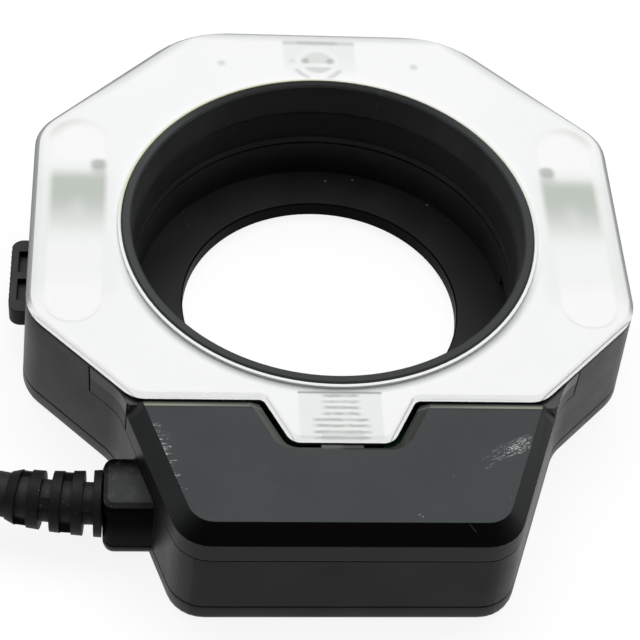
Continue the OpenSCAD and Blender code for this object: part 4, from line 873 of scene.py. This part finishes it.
def bore_finish(name, base, rim, rough, far, ior):
    """Dark bore parts with painted shade, darkest at the far side, a paler rim with painted light that dims
    towards the far side and the right, and a few motes of dust.
    """
    g = paint_graph(name)
    place = g.place()
    x, y, z = g.parts(place)
    up = g.facing()[2]
    fine = g.noise(place, 2.2, 2.0, 0.6)
    tone = g.mottled(g.noise(place, 0.08, 3.0), base, 0.85, 1.15)
    # Painted shade: walls darker towards the far side, flanges darker towards the near side.
    level = g.ramp(up, 0.5, 0.95)
    wall = g.times(g.ramp(y, *BORE_SHADE_SPAN, far, 1.0), g.without(level))
    flat = g.times(g.ramp(y, *FLANGE_LIGHT, 0.38, 0.72), level)
    tone = g.dim(tone, g.add(wall, flat))
    # Painted light on the rim, dimmer towards the far side and the right.
    crown = g.times(g.ramp(z, RIM_Z, RIM_Z + 0.3), level)
    lit = g.times(g.ramp(x, -35.0, -10.0, 1.0, 0.83), g.ramp(y, 22.0, 38.0, 1.0, 0.42))
    tone = g.mix(crown, tone, g.dim(rim, lit))
    motes = g.times(g.scatter(place, (0.3, 0.07), (0.15, 0.52, 0.7)), 0.5)
    dots = [g.fill(g.disc_distance(x, y, spot, MOTE_R), 0.12) for spot in MOTES]
    tone = g.paint(tone, g.times(g.most(motes, *dots), g.ramp(up, 0.5, 0.9)), 0.6, DUST)
    tone = g.paint(tone, bore_scratch(g, place, x, y, z), 0.3, RUBBED)
    tone = g.paint(tone, g.worn(place, 0.25, (0.03, 0.35), 0.3, 0.4), 0.1, RUBBED)
    g.shade("Base Color", tone)
    g.shade("IOR", ior)
    g.uneven(fine, rough, 0.06)
    g.bump(fine, 0.2, GRAIN_DEPTH, 0.1)
    return g.owner


def in_hole(middle, normal):
    return math.hypot(middle.x, middle.y) < HOLE_R


collar_black = bore_finish("collar_black", COLLAR_TONE, COLLAR_RIM, rough=0.5, far=0.48, ior=1.18)
adapter_black = bore_finish("adapter_black", ADAPTER_TONE, ADAPTER_RIM, rough=0.44, far=0.65, ior=1.25)
hole_black = bore_finish("hole_black", HOLE_TONE, ADAPTER_RIM, rough=0.44, far=1.0, ior=1.1)
dress(collar_black, "front_collar")
dress(adapter_black, "adapter_ring", "stop_ring")
dress_faces(hole_black, "adapter_ring", in_hole)

# Rubber and tape
RELIEF_START = -44.52
RELIEF_BEND = 85.0
RELIEF_CORE_R = 4.05
BOX_Y = -56.1
CORD_Z = 10.1
RUBBER_DUST = (0.2, 0.19, 0.18)
CORD_TONE = (0.032, 0.034, 0.0335)
RELIEF_TONE = (0.009, 0.0093, 0.0093)
RELIEF_CORE = (0.028, 0.0295, 0.03)
RUBBER_TONE = (0.01, 0.0102, 0.0104)
TAPE_TONE = (0.012, 0.012, 0.013)
TAPE_THREAD = 0.7


def relief_core(g, x, y, z):
    """1 on the core between the rings of the strain relief."""
    run = g.minus(RELIEF_START, x)
    axis = g.add(BOX_Y, g.times(run, run, 0.5 / RELIEF_BEND))
    return g.ramp(g.disc_distance(y, z, (axis, CORD_Z), RELIEF_CORE_R), 0.5, 0.1)


def soft_finish(name, base, rough=0.55, weave=0.0, core=None):
    """Dull rubber or woven tape, with pale dust caught in its grain."""
    g = paint_graph(name)
    place = g.place()
    x, y, z = g.parts(place)
    fine = g.noise(place, 2.0, 3.0, 0.65)
    tone = g.mottled(g.noise(place, 0.12), base, 0.8, 1.25)
    if core:
        tone = g.paint(tone, relief_core(g, x, y, z), 1.0, core)
    tone = g.paint(tone, g.ramp(fine, 0.62, 0.8), 0.16, RUBBER_DUST)
    tone = g.paint(tone, g.scatter(place, (1.1, 0.14), (0.2, 0.5, 0.65)), 0.35, DUST)
    g.shade("Base Color", tone)
    g.shade("IOR", PLASTIC_IOR)
    g.uneven(fine, rough, 0.08)
    height = fine
    if weave:
        threads = [g.math("SINE", g.times(part, 2 * math.pi / weave)) for part in (x, g.add(y, z))]
        height = g.add(fine, g.times(*threads, 1.5))
    g.bump(height, 0.35, 0.05, 0.25)
    return g.owner


cord_rubber = soft_finish("cord_rubber", CORD_TONE)
dress(cord_rubber, "cord_inner")
dress(soft_finish("relief_rubber", RELIEF_TONE, core=RELIEF_CORE), "strain_relief")
dress(soft_finish("rubber_black", RUBBER_TONE), "plug_sleeve", "tube_grommets")
dress(soft_finish("tape_black", TAPE_TONE, 0.8, TAPE_THREAD), "cord_tie")

# Metal
STEEL_TONE = (0.62, 0.62, 0.64)
BLACK_STEEL_TONE = (0.05, 0.05, 0.053)
SHEET_TONE = (0.86, 0.87, 0.88)
COPPER_TONE = (0.72, 0.36, 0.18)
PLATED_TONE = (0.72, 0.73, 0.75)
GOLD_TONE = (0.85, 0.64, 0.28)


def metal_finish(name, base, rough, brushed=(1.0, 1.0, 1.0)):
    """Metal with a brushed grain and slight staining."""
    g = paint_graph(name)
    place = g.place()
    lines = g.node("ShaderNodeMapping")
    g.feed(lines.inputs["Vector"], place)
    lines.inputs["Scale"].default_value = brushed
    grain = g.noise(lines.outputs[0], 2.4, 3.0, 0.6)
    g.shade("Base Color", g.mottled(g.noise(place, 0.1), base, 0.88, 1.0))
    g.shade("Metallic", 1.0)
    g.shade("Roughness", g.ramp(grain, 0.25, 0.75, rough - 0.07, rough + 0.07))
    g.bump(grain, 0.08, 0.02, 0.1)
    return g.owner


steel = metal_finish("steel", STEEL_TONE, 0.32, (0.2, 2.0, 2.0))
bright_sheet = metal_finish("bright_sheet", SHEET_TONE, 0.18, (2.0, 0.2, 2.0))
dress(steel, "latch_slide_left", "latch_slide_right", "latch_spring_left", "latch_spring_right")
dress(steel, "board_screws", "clamp_screws", "tube_electrodes")
dress(metal_finish("black_steel", BLACK_STEEL_TONE, 0.4), "rear_cover_screws")
dress(bright_sheet, "reflector_left", "reflector_right", "far_lamp_cup", "near_lamp_cup")
dress(metal_finish("copper_wire", COPPER_TONE, 0.35, (0.3, 0.3, 6.0)), "trigger_coils")
dress(metal_finish("plated", PLATED_TONE, 0.2, (0.3, 3.0, 0.3)), "plug_ferrule")
dress(metal_finish("gold_contact", GOLD_TONE, 0.25), "plug_pins")


# Small inner parts
def plain_finish(name, base, rough):
    """Small inner part: even colour with slight mottling and grain."""
    g = paint_graph(name)
    mottle = g.noise(g.place(), 1.2, 3.0)
    g.shade("Base Color", g.mottled(mottle, base, 0.85, 1.0))
    g.uneven(mottle, rough, 0.06)
    g.bump(mottle, 0.12, GRAIN_DEPTH, 0.1)
    return g.owner


dress(plain_finish("board_green", (0.02, 0.17, 0.07), 0.4), "main_board")
dress(plain_finish("chip_black", (0.02, 0.02, 0.021), 0.5), "board_chips")
dress(plain_finish("amber_film", (0.5, 0.27, 0.03), 0.3), "trigger_capacitors")
dress(plain_finish("ivory_plastic", (0.72, 0.69, 0.6), 0.45), "wire_sockets")
dress(plain_finish("red_wire", (0.42, 0.03, 0.03), 0.45), "tube_lead_left", "tube_lead_right")
dress(plain_finish("black_wire", (0.02, 0.02, 0.02), 0.45), "return_lead_left", "return_lead_right")
dress(plain_finish("dark_plastic", (0.03, 0.03, 0.032), 0.5), "far_lamp_holder", "cord_clamp")

# Glass
GLASS_IOR = 1.47


def glass_finish(name, tint, rough):
    """Clear glass or acrylic with faint streaks."""
    g = paint_graph(name)
    streak = g.noise(g.place(), 0.4)
    g.shade("Base Color", g.mottled(streak, tint, 0.94, 1.0))
    g.shade("Transmission Weight", 1.0)
    g.shade("IOR", GLASS_IOR)
    g.shade("Roughness", g.ramp(streak, 0.2, 0.8, rough, rough + 0.05))
    return g.owner


tube_glass = glass_finish("tube_glass", (0.93, 0.96, 0.97), 0.03)
dress(tube_glass, "flash_tube_left", "flash_tube_right", "far_lamp_bulb", "near_lamp_bulb")
dress(glass_finish("lamp_window", (0.9, 0.93, 0.93), 0.1), "near_lamp_lens")


# Tubes along a line
def tube(name, points, radius, rounding):
    """Curve of a round tube through those points, all in metres."""
    data = bpy.data.curves.new(name, "CURVE")
    data.dimensions = "3D"
    data.bevel_depth = radius
    data.bevel_resolution = rounding
    data.use_fill_caps = True
    spline = data.splines.new("POLY")
    spline.points.add(len(points) - 1)
    for point, place in zip(spline.points, points):
        point.co = (*place, 1.0)
    spline.use_smooth = True
    made = bpy.data.objects.new(name, data)
    scene.collection.objects.link(made)
    return made


# Latch springs, in place of the CAD ones
SPRING_WIRE = 0.5
SPRING_TURNS = 6
SPRING_STEPS = 24
SPRING_ROUNDING = 3


def spring(joint):
    """Round-wire spring in place of the CAD one, attached to the joint's parent."""
    held = joint["deforming_nodes"][0]
    low, high = (Vector(corner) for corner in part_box(held["node"]))
    wire = SPRING_WIRE / 2 * MM
    inner, outer = sorted((low.x, high.x), key=abs)
    start = inner + math.copysign(wire, outer - inner)
    end = outer + math.copysign(wire, inner - outer)
    middle = (low + high) / 2
    mean = (high.y - low.y) / 2 - wire
    steps = SPRING_STEPS * SPRING_TURNS
    points = []
    for k in range(steps + 1):
        a = 2 * math.pi * k / SPRING_STEPS
        x = start + (end - start) * k / steps
        points.append(Vector((x, middle.y + mean * math.cos(a), middle.z + mean * math.sin(a))))
    name = held["node"].replace("latch_", "")
    curve = tube(f"{name}_line", points, wire, SPRING_ROUNDING)
    drawn = curve.evaluated_get(bpy.context.evaluated_depsgraph_get())
    mesh = bpy.data.meshes.new_from_object(drawn)
    bpy.data.objects.remove(curve)
    mesh.materials.clear()
    mesh.materials.append(steel)
    piece = bpy.data.objects.new(name, mesh)
    scene.collection.objects.link(piece)
    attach(piece, joint["parent"])
    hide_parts(held["node"])
    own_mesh(piece)


for joint in frame["joints"]:
    if "deforming_nodes" in joint:
        spring(joint)

# Cord, on the same route as its solids
CORD_D = 6.0
CORD_ROUNDING = 5
RELIEF_LENGTH = 17.65
RELIEF_SLEEVE = 4.0
COIL_CENTRE = (-112.0, -9.0)
COIL_R = 37.0
COIL_PITCH = 7.4
COIL_TURNS_IN = 1.5
COIL_CLIMB = 0.5
COIL_SHORT = 0.25
COIL_LOW = 4.0
COIL_STEPS = 48
ROUTE_STEPS = 6
LEAD_OUT = 3
LEAD_IN = 4
LEAD_POINTS = (
    Vector((-76, -51, 8.6)),
    Vector((-84, -48.9, 6.2)),
    Vector((-92, -47.2, 4.6)),
    Vector((-100, -46.2, 4.05)),
)
TAIL_OUT = 3
TAIL_POINTS = (Vector((-148, 3, 11)), Vector((-148.8, 10, 9.6)), Vector((-149, 16, 7.4)))
PLUG_START = Vector((-149.0, 26.0, 6.0))
PLUG_IN = Vector((0, 4, 0))


def relief_point(s, out):
    """Point s along the strain relief's bend and out past it."""
    a = s / RELIEF_BEND
    x = RELIEF_START - RELIEF_BEND * math.sin(a) - out * math.cos(a)
    y = BOX_Y + RELIEF_BEND * (1 - math.cos(a)) + out * math.sin(a)
    return Vector((x, y, CORD_Z))


def coil_point(turn):
    """Point on the coil, which winds in, climbs one cord's height and winds out again."""
    climbed = COIL_TURNS_IN + COIL_CLIMB
    t = max(0.0, min(1.0, (turn - COIL_TURNS_IN) / COIL_CLIMB))
    r = COIL_R - COIL_PITCH * min(turn, COIL_TURNS_IN) + COIL_PITCH * max(turn - climbed, 0.0)
    a = math.radians(-90 - 360 * turn)
    z = COIL_LOW + COIL_PITCH * t * t * (3 - 2 * t)
    return Vector((COIL_CENTRE[0] + r * math.cos(a), COIL_CENTRE[1] + r * math.sin(a), z))


def smooth(points, steps):
    """Catmull-Rom curve through the points."""
    out = []
    last = len(points) - 1
    for i in range(last):
        a, b, c, d = points[max(i - 1, 0)], points[i], points[i + 1], points[min(i + 2, last)]
        for k in range(steps):
            t = k / steps
            bend = (2 * a - 5 * b + 4 * c - d) * t * t / 2
            out.append(b + (c - a) * t / 2 + bend + (3 * b - a - 3 * c + d) * t ** 3 / 2)
    return out + [points[-1]]


def square_ends(points):
    """Smooth curve whose first and last stretch are straight."""
    return [points[0], *smooth(points[1:-1], ROUTE_STEPS), points[-1]]


coil_turns = COIL_TURNS_IN + COIL_CLIMB + COIL_TURNS_IN - COIL_SHORT
coil = [coil_point(k / COIL_STEPS) for k in range(int(COIL_STEPS * coil_turns) + 1)]
heading = (coil[1] - coil[0]).normalized()
leaving = (coil[-1] - coil[-2]).normalized()
relief_end = relief_point(RELIEF_LENGTH, RELIEF_SLEEVE)
past_relief = relief_point(RELIEF_LENGTH, RELIEF_SLEEVE + LEAD_OUT)
lead = square_ends([relief_end, past_relief, *LEAD_POINTS, coil[0] - LEAD_IN * heading, coil[0]])
past_coil = coil[-1] + TAIL_OUT * leaving
tail = square_ends([coil[-1], past_coil, *TAIL_POINTS, PLUG_START - PLUG_IN, PLUG_START])
route = [point * MM for point in lead + coil[1:] + tail[1:]]
cord = tube("cord", route, CORD_D / 2 * MM, CORD_ROUNDING)
cord.data.materials.append(cord_rubber)
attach(cord, "head")
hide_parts("cord_lead", "cord_coil", "cord_tail")

# Floor
FLOOR_HALF = 4.0
FLOOR_TONE = (0.15, 0.15, 0.15)
FLOOR_LIGHT = (0.158, 0.158, 0.158)
FLOOR_GLOW = 0.88
WHITE = (1.0, 1.0, 1.0, 1.0)


def floor_finish():
    """White to the eye and to reflections, and only a little light thrown back on the part."""
    g = paint_graph("floor_white")
    g.shade("Base Color", g.mix(g.noise(g.place(), 0.02), FLOOR_TONE, FLOOR_LIGHT))
    g.shade("Roughness", 0.9)
    g.shade("Specular IOR Level", 0.0)
    rays = g.node("ShaderNodeLightPath").outputs
    seen = g.most(rays["Is Camera Ray"], rays["Is Glossy Ray"], rays["Is Transmission Ray"])
    g.shade("Emission Color", WHITE)
    g.shade("Emission Strength", g.times(seen, FLOOR_GLOW))
    return g.owner


corners = [(x * FLOOR_HALF, y * FLOOR_HALF, 0) for x, y in ((-1, -1), (1, -1), (1, 1), (-1, 1))]
floor_mesh = bpy.data.meshes.new("floor")
floor_mesh.from_pydata(corners, [], [(0, 1, 2, 3)])
floor = bpy.data.objects.new("floor", floor_mesh)
floor_mesh.materials.append(floor_finish())
scene.collection.objects.link(floor)

# Sky: bright overhead, dark at the horizon and towards the camera
world = bpy.data.worlds.new("studio")
scene.world = world
sky = Graph(world, "Background")
ahead, height = sky.parts(sky.node("ShaderNodeTexCoord").outputs["Generated"])[1:]
overhead = sky.ramp(height, 0.0, 0.9, 0.04, 0.75)
behind = sky.ramp(ahead, -0.7, 0.4, 0.35, 1.0)
sky.shade("Color", WHITE)
sky.shade("Strength", sky.times(overhead, behind))

# Soft box overhead, aimed at the head's middle
SOFTBOX_PLACE = Vector((0.05, 0.35, 0.95))
SOFTBOX_SIZE = (1.1, 0.8)
SOFTBOX_POWER = 7.2
light = bpy.data.lights.new("overhead", "AREA")
light.shape = "RECTANGLE"
light.size, light.size_y = SOFTBOX_SIZE
light.energy = SOFTBOX_POWER
softbox = bpy.data.objects.new("overhead", light)
softbox.location = SOFTBOX_PLACE
softbox.rotation_euler = (-SOFTBOX_PLACE).to_track_quat("-Z", "Y").to_euler()
scene.collection.objects.link(softbox)

# Camera at the photograph's place
RIGHT = Vector((0.9962, -0.04624, 0.07386)).normalized()
AHEAD = Vector((0.08619, 0.64759, -0.7571)).normalized()
EYE = Vector((-0.03681, -0.28005, 0.32633))
lens = bpy.data.cameras.new("camera")
lens.sensor_width = 36.0
lens.lens = 113.74
lens.clip_start = 0.01
lens.clip_end = 20.0
camera = bpy.data.objects.new("camera", lens)
turn = Matrix((RIGHT, RIGHT.cross(AHEAD).normalized(), -AHEAD)).transposed().to_4x4()
camera.matrix_world = Matrix.Translation(EYE) @ turn
scene.collection.objects.link(camera)
scene.camera = camera
scene.view_settings.view_transform = "Standard"
